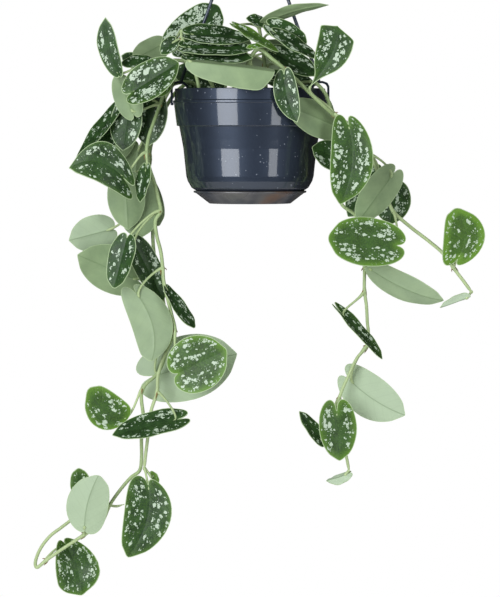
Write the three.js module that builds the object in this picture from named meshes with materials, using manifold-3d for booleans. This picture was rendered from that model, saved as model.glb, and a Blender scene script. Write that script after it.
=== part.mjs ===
// A satin pothos (Scindapsus pictus) in a 15 cm plastic hanging pot, with its clip-on drip tray and its
// two-armed hanger. Units are millimetres, +Z is up. The origin is the inner top of the hook, where a rod
// carries the whole plant.
// X runs along the two hanger arms, and -Y is the plant's best side.
// Every place below is first given in the rim frame: x and y from the pot's axis, h above the pot's rim.
import * as THREE from 'three'
import { mergeVertices } from 'three/addons/utils/BufferGeometryUtils.js'
import Module from 'manifold-3d'

const wasm = await Module()
wasm.setup()

// Driving dimensions.
const RIM_DROP = 236 // from the hook's inner top down to the pot's rim
const RIM_RADIUS = 75
const WALL = 1.8
const FIT = 0.3 // gap left between pieces that touch
const POT_DEPTH = 101.5
const SKIRT_DEPTH = 37 // the rim band reaches this far down and stands proud of the wall
const ROUND_STEPS = 28

const TRAY_TOP_RADIUS = 56.3
const TRAY_FOOT_RADIUS = 41.5
const TRAY_DEPTH = 12.6
const STUD_RADIUS = 3 // the tray's stud snaps through the pot's floor
const DRAIN_RADIUS = 4
const DRAIN_CIRCLE = 34
const DRAINS = 4

const SOIL_DEPTH = 13 // soil surface below the rim, at the wall
const SOIL_RISE = 4 // how much higher it stands in the middle
const HOLE_PLAY = 0.95 // a stem stands this loosely in its hole

const HOOK_RADIUS = 11
const HOOK_ROD = 2.4
const ARM_ROD = 1.7
const CLIP_WIDTH = 9
const BOSS_HEIGHT = 186 // where the two arms meet
const BOSS_RADIUS = 5

const BLADE = 0.8 // leaf thickness
const MIDRIB = 0.7 // how far the midrib stands out under the leaf
const LOBE_ROWS = 3
const TIP_ROWS = 3
const STEM_SIDES = 6
const PETIOLE_SIDES = 3
const PETIOLE_RADIUS = 1.5
const LONG_PETIOLE = 22 // a longer one bends in three steps, a shorter one in two

const plastic = new THREE.MeshStandardMaterial({ color: 0x39414f, roughness: 0.28, metalness: 0 })
const peat = new THREE.MeshStandardMaterial({ color: 0x2a211b, roughness: 0.95, metalness: 0 })
const foliage = new THREE.MeshStandardMaterial({ color: 0x3a6340, roughness: 0.5, metalness: 0 })

// ---------------------------------------------------------------- solids

// A closed geometry as a manifold solid, with its faces turned outward.
function solid(geometry) {
  geometry.deleteAttribute('normal')
  geometry.deleteAttribute('uv')
  const merged = mergeVertices(geometry, 1e-4)
  const triVerts = new Uint32Array(merged.index.array)
  const vertProperties = merged.attributes.position.array
  const made = new wasm.Manifold(new wasm.Mesh({ numProp: 3, vertProperties, triVerts }))
  if (made.volume() >= 0) return made
  for (let i = 0; i < triVerts.length; i += 3) {
    const first = triVerts[i]
    triVerts[i] = triVerts[i + 1]
    triVerts[i + 1] = first
  }
  return new wasm.Manifold(new wasm.Mesh({ numProp: 3, vertProperties, triVerts }))
}

function mesh(name, shape, material) {
  const { vertProperties, triVerts } = shape.getMesh()
  const geometry = new THREE.BufferGeometry()
  geometry.setAttribute('position', new THREE.BufferAttribute(vertProperties, 3))
  geometry.setIndex(new THREE.BufferAttribute(triVerts, 1))
  geometry.computeVertexNormals()
  const made = new THREE.Mesh(geometry, material)
  made.name = name
  return made
}

const vector = ([x, y, z]) => new THREE.Vector3(x, y, z)

function ring(radius, sides) {
  const shape = new THREE.Shape()
  shape.absarc(0, 0, radius, 0, Math.PI * 2)
  return new THREE.Shape(shape.getSpacedPoints(sides).slice(0, sides))
}

// A rod of even thickness along a curve.
function rod(curve, radius, sides, steps) {
  const options = { steps, bevelEnabled: false, extrudePath: curve }
  return solid(new THREE.ExtrudeGeometry(ring(radius, sides), options))
}

// A turned body from its profile of [radius, height] points.
function turned(profile) {
  const points = profile.map(([radius, height]) => new THREE.Vector2(radius, height))
  return solid(new THREE.LatheGeometry(points, ROUND_STEPS).rotateX(Math.PI / 2))
}

function cylinder(radius, low, high, sides, [x, y] = [0, 0]) {
  const geometry = new THREE.CylinderGeometry(radius, radius, high - low, sides).rotateX(Math.PI / 2)
  return solid(geometry.translate(x, y, (low + high) / 2))
}

// ---------------------------------------------------------------- pot, tray, soil

function pot() {
  const floor = -POT_DEPTH
  const inside = 1.6 * WALL
  const profile = [
    [RIM_RADIUS - WALL, 0],
    [RIM_RADIUS - 0.4, 0],
    [RIM_RADIUS, -0.5],
    [RIM_RADIUS + 0.2, -11.4],
    [RIM_RADIUS + 1.8, -12], // the bead that the clips hook under
    [RIM_RADIUS + 1.8, -14.3],
    [RIM_RADIUS + 0.9, -14.4],
    [RIM_RADIUS - 2, -SKIRT_DEPTH],
    [RIM_RADIUS - 4.4, -SKIRT_DEPTH - 0.4],
    [68, -51],
    [66.4, -60],
    [63.6, -87],
    [62.2, -92],
    [58.4, -98.6],
    [54, floor],
    [STUD_RADIUS + FIT, floor],
    [STUD_RADIUS + FIT, floor + WALL],
    [54 - WALL, floor + WALL],
    [58.6, -93],
    [61.2, -86],
    [65.6, -51],
    [68.6, -SKIRT_DEPTH - 0.6],
    [RIM_RADIUS - 3.8, -SKIRT_DEPTH + inside],
    [RIM_RADIUS - WALL, -12],
    [RIM_RADIUS - WALL, 0],
  ]
  let shell = turned(profile)
  for (let i = 0; i < DRAINS; i++) {
    const angle = ((i + 0.5) / DRAINS) * Math.PI * 2
    const centre = [DRAIN_CIRCLE * Math.cos(angle), DRAIN_CIRCLE * Math.sin(angle)]
    shell = shell.subtract(cylinder(DRAIN_RADIUS, floor - 1, floor + WALL + 1, 12, centre))
  }
  return shell
}

function dripTray() {
  const top = -POT_DEPTH - FIT
  const foot = top - TRAY_DEPTH
  const stud = -POT_DEPTH + WALL + FIT
  return turned([
    [0, foot],
    [TRAY_FOOT_RADIUS - 1, foot],
    [TRAY_FOOT_RADIUS, foot + 0.8],
    [TRAY_TOP_RADIUS - 2.6, top - 2.4],
    [TRAY_TOP_RADIUS, top - 1.6],
    [TRAY_TOP_RADIUS, top],
    [TRAY_TOP_RADIUS - 4.4, top],
    [TRAY_FOOT_RADIUS - 2, foot + 1.8],
    [2 * STUD_RADIUS, foot + 1.8],
    [2 * STUD_RADIUS, top],
    [STUD_RADIUS, top],
    [STUD_RADIUS, stud],
    [STUD_RADIUS + 1, stud + 0.4],
    [STUD_RADIUS - 0.8, stud + 3],
    [0, stud + 3],
  ])
}

function soil(holes) {
  const low = -POT_DEPTH + WALL + FIT
  const body = turned([
    [0, low + 5],
    [2 * STUD_RADIUS, low + 5],
    [2 * STUD_RADIUS, low],
    [51, low],
    [60.7, -86],
    [65.1, -51],
    [67.9, -SKIRT_DEPTH - 1],
    [RIM_RADIUS - 4.4, -SKIRT_DEPTH + 3],
    [RIM_RADIUS - WALL - 0.5, -SOIL_DEPTH],
    [45, -SOIL_DEPTH + 0.7 * SOIL_RISE],
    [0, -SOIL_DEPTH + SOIL_RISE],
  ])
  return body.subtract(wasm.Manifold.union(holes))
}

// ---------------------------------------------------------------- hanger

// The clip straddles the rim: its outer leg hooks under the bead, and its inner leg springs against the wall.
function clip() {
  const leg = RIM_RADIUS + 1.8 + FIT
  const lip = -14.3 - FIT
  const outline = [
    [RIM_RADIUS + 1.3, lip],
    [leg, lip],
    [leg, 1.5],
    [75.6, 4.2],
    [72, 5.6],
    [67.5, 5.2],
    [64, 2.6],
    [62.2, -3],
    [60.6, -2.4],
    [62.2, 3.6],
    [66.2, 7.2],
    [72.2, 7.6],
    [77.2, 5.8],
    [leg + 2, 2.2],
    [leg + 2, lip - 2],
    [RIM_RADIUS + 1.3, lip - 2],
  ]
  const shape = new THREE.Shape(outline.map(([radius, height]) => new THREE.Vector2(-radius, height)))
  const options = { depth: CLIP_WIDTH, bevelEnabled: false }
  const geometry = new THREE.ExtrudeGeometry(shape, options).translate(0, 0, -CLIP_WIDTH / 2)
  return solid(geometry.rotateX(Math.PI / 2))
}

function arm() {
  const route = [[-69, 6], [-66, 15], [-61, 30], [-49.5, 56], [-38, 88], [-20, 138], [-2.5, BOSS_HEIGHT]]
  const curve = new THREE.CatmullRomCurve3(route.map(([x, h]) => new THREE.Vector3(x, 0, h)))
  return rod(curve, ARM_ROD, 6, 10)
}

function hook() {
  const bend = HOOK_RADIUS + HOOK_ROD
  const centre = RIM_DROP - HOOK_RADIUS
  const route = [[0, BOSS_HEIGHT], [0, centre - 26], [2.8, centre - 17]]
  for (let degrees = -50; degrees <= 200; degrees += 25) {
    const angle = THREE.MathUtils.degToRad(degrees)
    route.push([bend * Math.cos(angle), centre + bend * Math.sin(angle)])
  }
  const curve = new THREE.CatmullRomCurve3(route.map(([x, h]) => new THREE.Vector3(x, 0, h)))
  return rod(curve, HOOK_ROD, 6, 20)
}

function hanger() {
  const side = clip().add(arm())
  const boss = cylinder(BOSS_RADIUS, BOSS_HEIGHT - 5, BOSS_HEIGHT + 7, 12)
  return wasm.Manifold.union([side, side.rotate(0, 0, 180), boss, hook()])
}

// ---------------------------------------------------------------- leaves

// Half of a heart-shaped blade's outline, from the notch round the lobe to the tip.
// x runs along the midrib from 0 at the petiole to 1 at the tip, y is the half width.
// lobe is how far the lobes reach back, wide is where the blade is widest, and blunt rounds the tip.
function halfOutline(lobe, wide, blunt) {
  const notch = new THREE.Vector2(0, 0)
  const belly = new THREE.Vector2(wide, 0.5)
  const tip = new THREE.Vector2(1, 0)
  const round = new THREE.CubicBezierCurve(
    notch, new THREE.Vector2(-1.25 * lobe, 0.04), new THREE.Vector2(-0.55 * lobe, 0.5), belly,
  )
  const taper = new THREE.CubicBezierCurve(
    belly,
    new THREE.Vector2(wide + 0.53 * (1 - wide), 0.5),
    new THREE.Vector2(0.92 + 0.08 * blunt, 0.17 + 0.13 * blunt),
    tip,
  )
  return [...round.getPoints(LOBE_ROWS), ...taper.getPoints(TIP_ROWS).slice(1)]
}

// A blade as a thin solid. base is where the petiole meets it and face is where its upper side looks.
// bow carries the middle of the midrib out of the straight line from base to tip, fold raises both halves
// in a V, cup raises the margins, twist turns the tip about the midrib, and wave ripples the margin.
function blade({
  base, tip, width, face, bow = [0, 0, 0], fold = 0.12, cup = 0, twist = 0, wave = 0,
  lobe = 0.2, wide = 0.38, blunt = 0.4,
}) {
  const start = vector(base)
  const along = vector(tip).sub(start)
  const length = along.length()
  const forward = along.clone().normalize()
  const up = vector(face).projectOnPlane(forward).normalize()
  const side = up.clone().cross(forward)
  const bend = vector(bow)

  // a runs along the midrib, b across it from -0.5 to 0.5.
  const place = (a, b) => {
    const turn = twist * a
    const across = b * width
    const rise = fold * Math.abs(across) + cup * width * b * b + 4 * wave * b * b * Math.sin(3 * Math.PI * a)
    const point = start.clone().addScaledVector(along, a).addScaledVector(bend, 4 * a * (1 - a))
    point.addScaledVector(side, across * Math.cos(turn) - rise * Math.sin(turn))
    return point.addScaledVector(up, across * Math.sin(turn) + rise * Math.cos(turn))
  }
  // The direction square to the blade there. At the midrib it is the mean of both halves.
  const lift = (a, b) => {
    const step = 0.02
    const da = place(a + step, b).sub(place(a - step, b))
    const db = place(a, b + step).sub(place(a, b - step))
    return da.cross(db).normalize()
  }

  const outline = halfOutline(lobe, wide, blunt)
  const last = outline.length - 1
  const positions = []
  const index = []
  const known = new Map()
  // A corner of the blade: layer 1 is the upper face and -1 the lower, hand 0 is the midrib and 1 or -1
  // a margin.
  const corner = (layer, hand, row) => {
    const end = row === 0 || row === last
    const key = [layer, end ? 0 : hand, row].join(' ')
    if (known.has(key)) return known.get(key)
    const a = hand || end ? outline[row].x : (row / last) ** 1.3
    const b = hand * outline[row].y
    const rib = layer < 0 && !hand && !end ? MIDRIB : 0
    const point = place(a, b).addScaledVector(lift(a, b), layer * (BLADE / 2 + rib))
    positions.push(point.x, point.y, point.z)
    known.set(key, known.size)
    return known.get(key)
  }
  const triangle = (outward, ...corners) => {
    if (new Set(corners).size === 3) index.push(...(outward ? corners : corners.reverse()))
  }
  for (const hand of [-1, 1]) {
    for (let row = 0; row < last; row++) {
      for (const layer of [-1, 1]) {
        const rib = [corner(layer, 0, row), corner(layer, 0, row + 1)]
        const margin = [corner(layer, hand, row), corner(layer, hand, row + 1)]
        triangle(layer * hand > 0, rib[0], rib[1], margin[1])
        triangle(layer * hand > 0, rib[0], margin[1], margin[0])
      }
      const upper = [corner(1, hand, row), corner(1, hand, row + 1)]
      const lower = [corner(-1, hand, row), corner(-1, hand, row + 1)]
      triangle(hand > 0, upper[0], upper[1], lower[1])
      triangle(hand > 0, upper[0], lower[1], lower[0])
    }
  }
  const geometry = new THREE.BufferGeometry()
  geometry.setAttribute('position', new THREE.Float32BufferAttribute(positions, 3))
  geometry.setIndex(index)
  return solid(geometry)
}

// A petiole rises from the stem, bends over and runs in under the blade along its midrib.
function petiole(from, leaf) {
  const start = vector(leaf.base)
  const forward = vector(leaf.tip).sub(start).addScaledVector(vector(leaf.bow ?? [0, 0, 0]), 4).normalize()
  const up = vector(leaf.face).projectOnPlane(forward).normalize()
  const end = start.clone().addScaledVector(forward, 5).addScaledVector(up, -0.65)
  const reach = from.distanceTo(end)
  const leave = end.clone().sub(from).normalize().multiplyScalar(0.5)
  leave.z += leaf.rise ?? 0.5
  const first = from.clone().addScaledVector(leave, 0.35 * reach)
  const second = end.clone().addScaledVector(forward, -0.3 * reach).addScaledVector(up, -0.08 * reach)
  const curve = new THREE.CubicBezierCurve3(from, first, second, end)
  return rod(curve, PETIOLE_RADIUS, PETIOLE_SIDES, reach > LONG_PETIOLE ? 3 : 2)
}

// A curve whose steps fall on its listed points, however unevenly they lie.
class StemCurve extends THREE.CatmullRomCurve3 {
  getSpacedPoints(steps) {
    return this.getPoints(steps)
  }

  getTangentAt(share, target) {
    return this.getTangent(share, target)
  }
}

const stemCurve = (vine) => new StemCurve(vine.stem.map(vector))
const placeOn = (vine, at) => stemCurve(vine).getPoint(at / (vine.stem.length - 1))

function vineSolid(vine) {
  const pieces = [rod(stemCurve(vine), vine.radius, STEM_SIDES, vine.stem.length - 1)]
  for (const leaf of vine.leaves) pieces.push(blade(leaf), petiole(placeOn(vine, leaf.at), leaf))
  for (const shoot of vine.shoots ?? []) {
    const curve = new THREE.CatmullRomCurve3(shoot.map(vector))
    pieces.push(rod(curve, PETIOLE_RADIUS, PETIOLE_SIDES, shoot.length))
  }
  return wasm.Manifold.union(pieces)
}

// The plain hole in the soil that a stem stands in, from just under the root to above the surface.
function stemHole(vine) {
  const [root, collar] = vine.stem.map(vector)
  const down = root.clone().sub(collar).normalize()
  const line = new THREE.LineCurve3(root.addScaledVector(down, FIT), collar.addScaledVector(down, -4))
  return rod(line, vine.radius + HOLE_PLAY, STEM_SIDES, 1)
}

// ---------------------------------------------------------------- the vines, in the rim frame
// stem lists points along the vine from its root. at is the point of the stem where a leaf's petiole starts,
// and rise is how steeply the petiole leaves it.

const vines = [
  {
    name: 'vine_left_front',
    radius: 2,
    stem: [
      [-46, 20, -30], [-46, 20, -9], [-56, 19, 5], [-72, 16, 6], [-83, 12, 0], [-90, 8, -17],
      [-95, 2, -31], [-101, -4, -49], [-103, -8, -65], [-100, -10, -79], [-95, -10, -94], [-91, -10, -110],
      [-89, -10, -122], [-94, -10, -131], [-93, -9, -146], [-89, -8, -162], [-87, -8, -179], [-86, -8, -193],
      [-82, -8, -210], [-78, -8, -226], [-75, -8, -241], [-80, -6, -254], [-87, -4, -270], [-92, -3, -287],
      [-93, -3, -303], [-99, -3, -322], [-102, -3, -346], [-105, -2, -370], [-106, 0, -380],
    ],
    leaves: [
      { at: 5, base: [-116, -7, -25], tip: [-133, -7, 16], width: 28, face: [0.25, 0.95, 0.1] },
      { at: 5, base: [-97, 16, -8], tip: [-103, 14, -58], width: 34, face: [-0.1, -0.95, 0.2] },
      {
        at: 8, base: [-125, -26, -89], tip: [-179, -32, -79], width: 43, face: [-0.1, -0.95, 0.3],
        bow: [1, -5, 12], lobe: 0.3, wide: 0.3, blunt: 0.1, rise: 0.9,
      },
      { at: 8, base: [-103, -17, -78], tip: [-109, -22, -113], width: 22, face: [-0.75, -0.65, 0.1] },
      {
        at: 12, base: [-122, -22, -148], tip: [-135, -26, -198], width: 30, face: [-0.5, -0.85, 0.1],
        lobe: 0.15, blunt: 1,
      },
      { at: 12, base: [-116, 2, -154], tip: [-86, 2, -212], width: 32, face: [0.55, -0.8, 0.2] },
      {
        at: 16, base: [-113, -14, -204], tip: [-98, -16, -271], width: 41, face: [-0.1, 0.97, 0.1],
        bow: [9, 0, 0], blunt: 1,
      },
      {
        at: 16, base: [-84, -15, -197], tip: [-55, -16, -238], width: 23, face: [0.8, -0.5, 0.3],
        bow: [-1, 0, -1], lobe: 0.08, wide: 0.58, blunt: 1,
      },
      {
        at: 20, base: [-72, -24, -283], tip: [-23, -28, -259], width: 57, face: [0.05, -0.97, 0.25],
        blunt: 0.6,
      },
      {
        at: 24, base: [-72, -20, -329], tip: [-137, -28, -344], width: 37, face: [0.1, -0.55, 0.8],
        lobe: 0.28,
      },
      {
        at: 28, base: [-102, -8, -396], tip: [-122, -14, -468], width: 48, face: [0.05, -1, 0.1],
        bow: [8, -2, 0], lobe: 0.17, wide: 0.32, blunt: 0.7,
      },
      { at: 28, base: [-100, 0, -385], tip: [-93, -2, -399], width: 12, face: [0.7, -0.5, 0.5], fold: 0.5 },
    ],
  },
  {
    name: 'vine_left_back',
    radius: 2,
    stem: [
      [-34, 46, -30], [-34, 46, -9], [-44, 50, 5], [-60, 52, 7], [-74, 50, -2], [-88, 44, -24],
      [-99, 38, -52], [-102, 34, -84], [-97, 30, -116], [-98, 26, -146], [-95, 22, -178], [-88, 18, -208],
      [-84, 12, -240], [-84, 8, -262], [-92, 6, -284], [-108, 4, -301], [-107, 4, -330], [-109, 6, -350],
      [-109, 8, -370], [-111, 6, -383], [-120, 3, -390], [-139, -2, -414], [-150, -4, -436], [-166, -8, -446],
      [-188, -12, -460], [-204, -14, -471], [-213, -14, -478], [-215, -10, -475], [-211, 0, -462],
      [-201, 6, -449], [-189, 8, -440], [-178, 10, -431], [-170, 12, -419],
    ],
    leaves: [
      { at: 7, base: [-125, 12, -88], tip: [-122, 8, -141], width: 38, face: [-0.1, 0.97, 0.1] },
      {
        at: 7, base: [-111, 24, -94], tip: [-112, 16, -150], width: 42, face: [0.05, 0.97, 0.1],
        blunt: 0.8,
      },
      { at: 7, base: [-110, 42, -92], tip: [-92, 34, -138], width: 28, face: [0.1, 0.97, 0.1], blunt: 0.8 },
      { at: 8, base: [-140, 26, -141], tip: [-182, 18, -152], width: 37, face: [-0.1, 0.97, 0.1] },
      { at: 10, base: [-113, 18, -192], tip: [-173, 8, -166], width: 49, face: [0, 0.97, 0.15] },
      {
        at: 12, base: [-95, 18, -288], tip: [-13, 2, -265], width: 66, face: [0.05, 0.97, -0.2],
        lobe: 0.34,
      },
      {
        at: 15, base: [-122, 2, -330], tip: [-162, -4, -300], width: 38, face: [-0.15, -0.95, 0.2],
        bow: [-2, 0, -7], lobe: 0, wide: 0.52, blunt: 1,
      },
      {
        at: 23, base: [-165, -16, -441], tip: [-151, -20, -385], width: 42, face: [0.1, 0.97, 0.1],
        bow: [-4, 0, 0], lobe: 0.08, wide: 0.45, blunt: 1,
      },
      { at: 32, base: [-168, 6, -408], tip: [-172, 2, -380], width: 22, face: [-0.2, -0.9, 0.3], blunt: 1 },
      {
        at: 25, base: [-186, 2, -456], tip: [-169, -2, -508], width: 45, face: [0.75, -0.66, 0],
        bow: [4, 0, 0], twist: 1.4, lobe: 0.15, wide: 0.64, blunt: 0.6,
      },
    ],
    shoots: [[[-141, -2, -417], [-134, -2, -418], [-126, -2, -416]]],
  },
  {
    name: 'vine_left_upper',
    radius: 2,
    stem: [
      [-34, -14, -30], [-34, -14, -8], [-44, -18, 14], [-66, -18, 27], [-88, -16, 26], [-104, -14, 22],
      [-112, -8, 6], [-115, -2, -8], [-116, 0, -20],
    ],
    leaves: [
      {
        at: 5, base: [-130, -16, 12], tip: [-143, -22, 70], width: 21, face: [-0.3, -0.93, 0.1],
        bow: [-4, 0, 0], lobe: 0.05, wide: 0.5,
      },
      {
        at: 6, base: [-118, -28, -5], tip: [-70, -36, 25], width: 43, face: [-0.25, -0.85, 0.45],
        blunt: 0.8,
      },
      { at: 4, base: [-98, -6, 26], tip: [-129, -10, 24], width: 24, face: [0, -0.6, 0.8] },
      { at: 4, base: [-80, -20, 12], tip: [-91, -26, -9], width: 16, face: [0.2, -0.9, 0.3] },
      { at: 7, base: [-121, 9, -16], tip: [-127, 5, -62], width: 34, face: [-0.3, -0.9, 0.15] },
      {
        at: 7, base: [-132, 15, -18], tip: [-175, 2, -76], width: 28, face: [-0.68, -0.5, 0.5],
        lobe: 0.32,
      },
      { at: 8, base: [-128, 22, -30], tip: [-154, 18, -60], width: 32, face: [-0.3, -0.9, 0.3] },
    ],
  },
  {
    name: 'vine_left_rear',
    radius: 2,
    stem: [
      [-26, 36, -30], [-26, 36, -8], [-35, 47, 12], [-52, 60, 20], [-72, 68, 12], [-88, 70, -12],
      [-98, 72, -40], [-103, 70, -70], [-102, 68, -96],
    ],
    leaves: [
      { at: 3, base: [-87, 44, 46], tip: [-118, 36, 29], width: 28, face: [0.1, 0.95, -0.3], blunt: 0.8 },
      { at: 4, base: [-112, 48, 26], tip: [-130, 44, 34], width: 16, face: [-0.2, -0.9, 0.3] },
      { at: 4, base: [-98, 86, -8], tip: [-110, 94, -52], width: 36, face: [-0.5, 0.8, 0.3] },
      { at: 5, base: [-126, 74, -30], tip: [-136, 80, -74], width: 30, face: [-0.2, 0.95, 0.3] },
      { at: 6, base: [-114, 88, -58], tip: [-120, 96, -102], width: 32, face: [-0.2, 0.95, 0.3] },
      { at: 7, base: [-110, 82, -106], tip: [-114, 88, -148], width: 34, face: [-0.2, 0.95, 0.2] },
    ],
  },
  {
    name: 'vine_right_long',
    radius: 2.1,
    stem: [
      [-6, -32, -30], [-6, -32, -8], [-4, -38, 18], [8, -44, 38], [22, -50, 28], [34, -56, 18],
      [50, -64, 3], [68, -62, -14], [82, -52, -26], [98, -38, -38], [110, -26, -50], [119, -18, -66],
      [126, -16, -81], [133, -16, -101], [140, -16, -118], [143, -16, -123], [160, -18, -138],
      [177, -20, -151], [192, -22, -164], [202, -22, -178], [212, -22, -191], [220, -22, -202],
    ],
    leaves: [
      {
        at: 5, base: [33, -74, 13], tip: [46, -81, -34], width: 24, face: [-0.2, -0.95, 0.2],
        bow: [-3, 0, 0],
      },
      { at: 9, base: [85, -42, -38], tip: [35, -75, -17], width: 39, face: [-0.3, 0.9, -0.3] },
      {
        at: 8, base: [56, -70, -2], tip: [85, -74, 60], width: 36, face: [0.1, -0.95, 0.2],
        bow: [8, -4, 2], lobe: -0.28, wide: 0.84, blunt: 0.3,
      },
      {
        at: 8, base: [96, -64, -36], tip: [88, -68, -114], width: 42, face: [0, -1, 0.1],
        bow: [7, -5, 0], wide: 0.46, blunt: 0.5,
      },
      { at: 9, base: [98, -12, -34], tip: [105, -8, -62], width: 26, face: [0.2, -0.9, 0.3] },
      { at: 11, base: [142, -26, -84], tip: [106, -24, -133], width: 34, face: [-0.5, 0.85, -0.3] },
      { at: 11, base: [130, 4, -84], tip: [98, 6, -128], width: 34, face: [0, -1, 0.1] },
      { at: 13, base: [143, 12, -96], tip: [141, 12, -136], width: 38, face: [0.1, -1, 0.1] },
      {
        at: 15, base: [145, -42, -155], tip: [77, -48, -147], width: 49, face: [0, -0.97, 0.2],
        wide: 0.45, blunt: 1,
      },
      {
        at: 19, base: [205, -32, -169], tip: [204, -42, -118], width: 41, face: [0, -0.95, 0.2],
        bow: [7, 0, 0], wide: 0.45, blunt: 1,
      },
      {
        at: 21, base: [218, -28, -206], tip: [188, -31, -217], width: 12, face: [0, 0.6, 0.8],
        fold: 0.7, lobe: 0.05,
      },
    ],
  },
  {
    name: 'vine_right_lower',
    radius: 1.9,
    stem: [
      [36, 24, -30], [36, 24, -9], [46, 8, 3], [56, -18, 6], [66, -36, 4], [75, -39, -7],
      [81, -34, -27], [90, -21, -54], [89, -8, -86], [89, -8, -106], [92, -8, -116], [106, -8, -127],
      [112, -10, -146], [113, -12, -166], [114, -12, -179], [114, -12, -201], [116, -12, -216],
      [117, -12, -233], [118, -12, -244], [116, -12, -257], [107, -12, -268], [99, -14, -284],
      [89, -16, -308], [86, -14, -330], [92, -12, -352], [96, -12, -366], [99, -12, -381],
    ],
    leaves: [
      { at: 8, base: [92, -26, -72], tip: [61, -36, -58], width: 30, face: [0.1, -0.9, 0.3] },
      {
        at: 14, base: [117, -25, -177], tip: [192, -29, -210], width: 30, face: [0.1, 0.85, 0.45],
        bow: [0, 0, -5], lobe: 0.05, wide: 0.4, blunt: 0.5,
      },
      {
        at: 15, base: [91, -26, -223], tip: [131, -34, -268], width: 26, face: [0.7, -0.41, 0.57],
        fold: 0.25, lobe: 0.35, wide: 0.5, blunt: 0.6, rise: -0.4,
      },
      {
        at: 19, base: [100, -4, -291], tip: [155, -8, -326], width: 43, face: [0.1, 0.97, 0],
        bow: [-2, 0, -3], lobe: 0.28,
      },
      {
        at: 22, base: [86, -28, -320], tip: [89, -34, -369], width: 38, face: [0.1, -0.97, 0.2],
        lobe: 0.36, wide: 0.3, blunt: 0.6,
      },
      { at: 22, base: [72, -14, -352], tip: [49, -18, -321], width: 18, face: [0.3, -0.7, 0.6] },
      {
        at: 26, base: [99, -12, -384], tip: [76, -16, -391], width: 14, face: [0.2, 0.6, -0.75],
        bow: [0, 0, -1], fold: 0.4,
      },
    ],
  },
  {
    name: 'crown_front',
    radius: 2,
    stem: [
      [-49, -35, -30], [-49, -35, -8], [-54, -36, 16], [-62, -32, 34], [-67, -28, 48], [-68, -24, 56],
    ],
    leaves: [
      {
        at: 5, base: [-75, 12, 41], tip: [-32, 38, 84], width: 45, face: [0.1, -0.85, 0.5],
        bow: [2, 0, -1], blunt: 0.9,
      },
      { at: 5, base: [-60, -32, 53], tip: [1, -30, 48], width: 40, face: [0, -0.5, 0.87] },
      { at: 4, base: [-63, -42, 40], tip: [4, -44, 38], width: 38, face: [0, -0.5, 0.87] },
      { at: 3, base: [-60, -47, 32], tip: [3, -49, 29], width: 38, face: [0, -0.5, 0.87] },
      {
        at: 2, base: [-61, -72, 25], tip: [24, -81, 15], width: 32, face: [-0.1, 0.75, -0.65],
        bow: [0, -4, 0], fold: 0.8, lobe: 0.05, wide: 0.78, blunt: 1,
      },
      { at: 4, base: [-74, -16, 48], tip: [-88, -20, 33], width: 18, face: [-0.2, -0.8, 0.5] },
    ],
  },
  {
    name: 'crown_right',
    radius: 2,
    stem: [
      [16, -6, -30], [16, -6, -8], [15, -4, 20], [12, -4, 44], [9, -4, 60], [7, -6, 67],
    ],
    leaves: [
      {
        at: 5, base: [18, -20, 67], tip: [78, -27, 82], width: 19, face: [-0.1, 0.55, 0.83],
        bow: [0, 0, 3], wide: 0.22, blunt: 0,
      },
      { at: 5, base: [15, -18, 64], tip: [-4, -22, 69], width: 20, face: [0, -0.6, 0.8] },
      { at: 4, base: [19, -32, 62], tip: [56, -38, 44], width: 28, face: [0.2, -0.75, 0.6], blunt: 0.8 },
      { at: 3, base: [25, -46, 54], tip: [67, -52, 28], width: 25, face: [0.35, -0.55, 0.75] },
      { at: 3, base: [22, -14, 36], tip: [66, -26, 12], width: 36, face: [0.3, -0.65, 0.7] },
      { at: 4, base: [-14, -42, 61], tip: [28, -52, 35], width: 18, face: [0.4, -0.5, 0.75], blunt: 0.9 },
      { at: 3, base: [14, -50, 42], tip: [-4, -56, 39], width: 10, face: [0, -0.6, 0.8] },
      { at: 2, base: [42, 22, 26], tip: [82, 34, 20], width: 34, face: [0.2, 0.2, 0.95] },
    ],
  },
  {
    name: 'crown_back',
    radius: 2,
    stem: [[2, 30, -30], [2, 30, -8], [2, 35, 14], [0, 46, 30], [-2, 58, 34]],
    leaves: [
      { at: 2, base: [-20, 40, 28], tip: [-60, 40, 34], width: 42, face: [-0.1, 0.35, 0.9] },
      { at: 2, base: [-30, 28, 8], tip: [-78, 31, 18], width: 32, face: [-0.2, -0.9, 0.3] },
      { at: 2, base: [20, 40, 10], tip: [67, 41, 4], width: 42, face: [0.1, -0.45, 0.85] },
      { at: 4, base: [-10, 66, 34], tip: [-26, 108, 18], width: 42, face: [-0.1, 0.6, 0.8] },
      { at: 4, base: [12, 66, 32], tip: [30, 108, 14], width: 42, face: [0.1, 0.6, 0.8] },
      { at: 3, base: [-7, 44, 43], tip: [-31, 22, 56], width: 32, face: [0, 0.2, 0.97] },
      { at: 3, base: [17, 46, 38], tip: [39, 20, 50], width: 32, face: [0, 0.2, 0.97] },
    ],
  },
  {
    name: 'vine_rear_left',
    radius: 2,
    stem: [
      [-13, 53, -30], [-13, 53, -9], [-18, 64, 6], [-24, 79, 6], [-28, 88, -8], [-30, 90, -34],
      [-30, 88, -62], [-28, 86, -88],
    ],
    leaves: [
      { at: 4, base: [-28, 100, -8], tip: [-30, 108, -54], width: 34, face: [-0.2, 0.95, 0.3] },
      { at: 5, base: [-12, 98, -42], tip: [-2, 102, -86], width: 38, face: [0.1, 0.95, 0.2] },
      { at: 6, base: [-42, 100, -66], tip: [-46, 106, -106], width: 34, face: [-0.3, 0.95, 0.2] },
      { at: 7, base: [-20, 92, -92], tip: [-14, 94, -112], width: 16, face: [0.1, 0.9, 0.3], fold: 0.4 },
    ],
  },
  {
    name: 'vine_rear_right',
    radius: 2,
    stem: [
      [21, 51, -30], [21, 51, -9], [29, 62, 6], [39, 75, 6], [46, 83, -8], [50, 84, -32],
      [51, 82, -58], [50, 80, -80],
    ],
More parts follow.
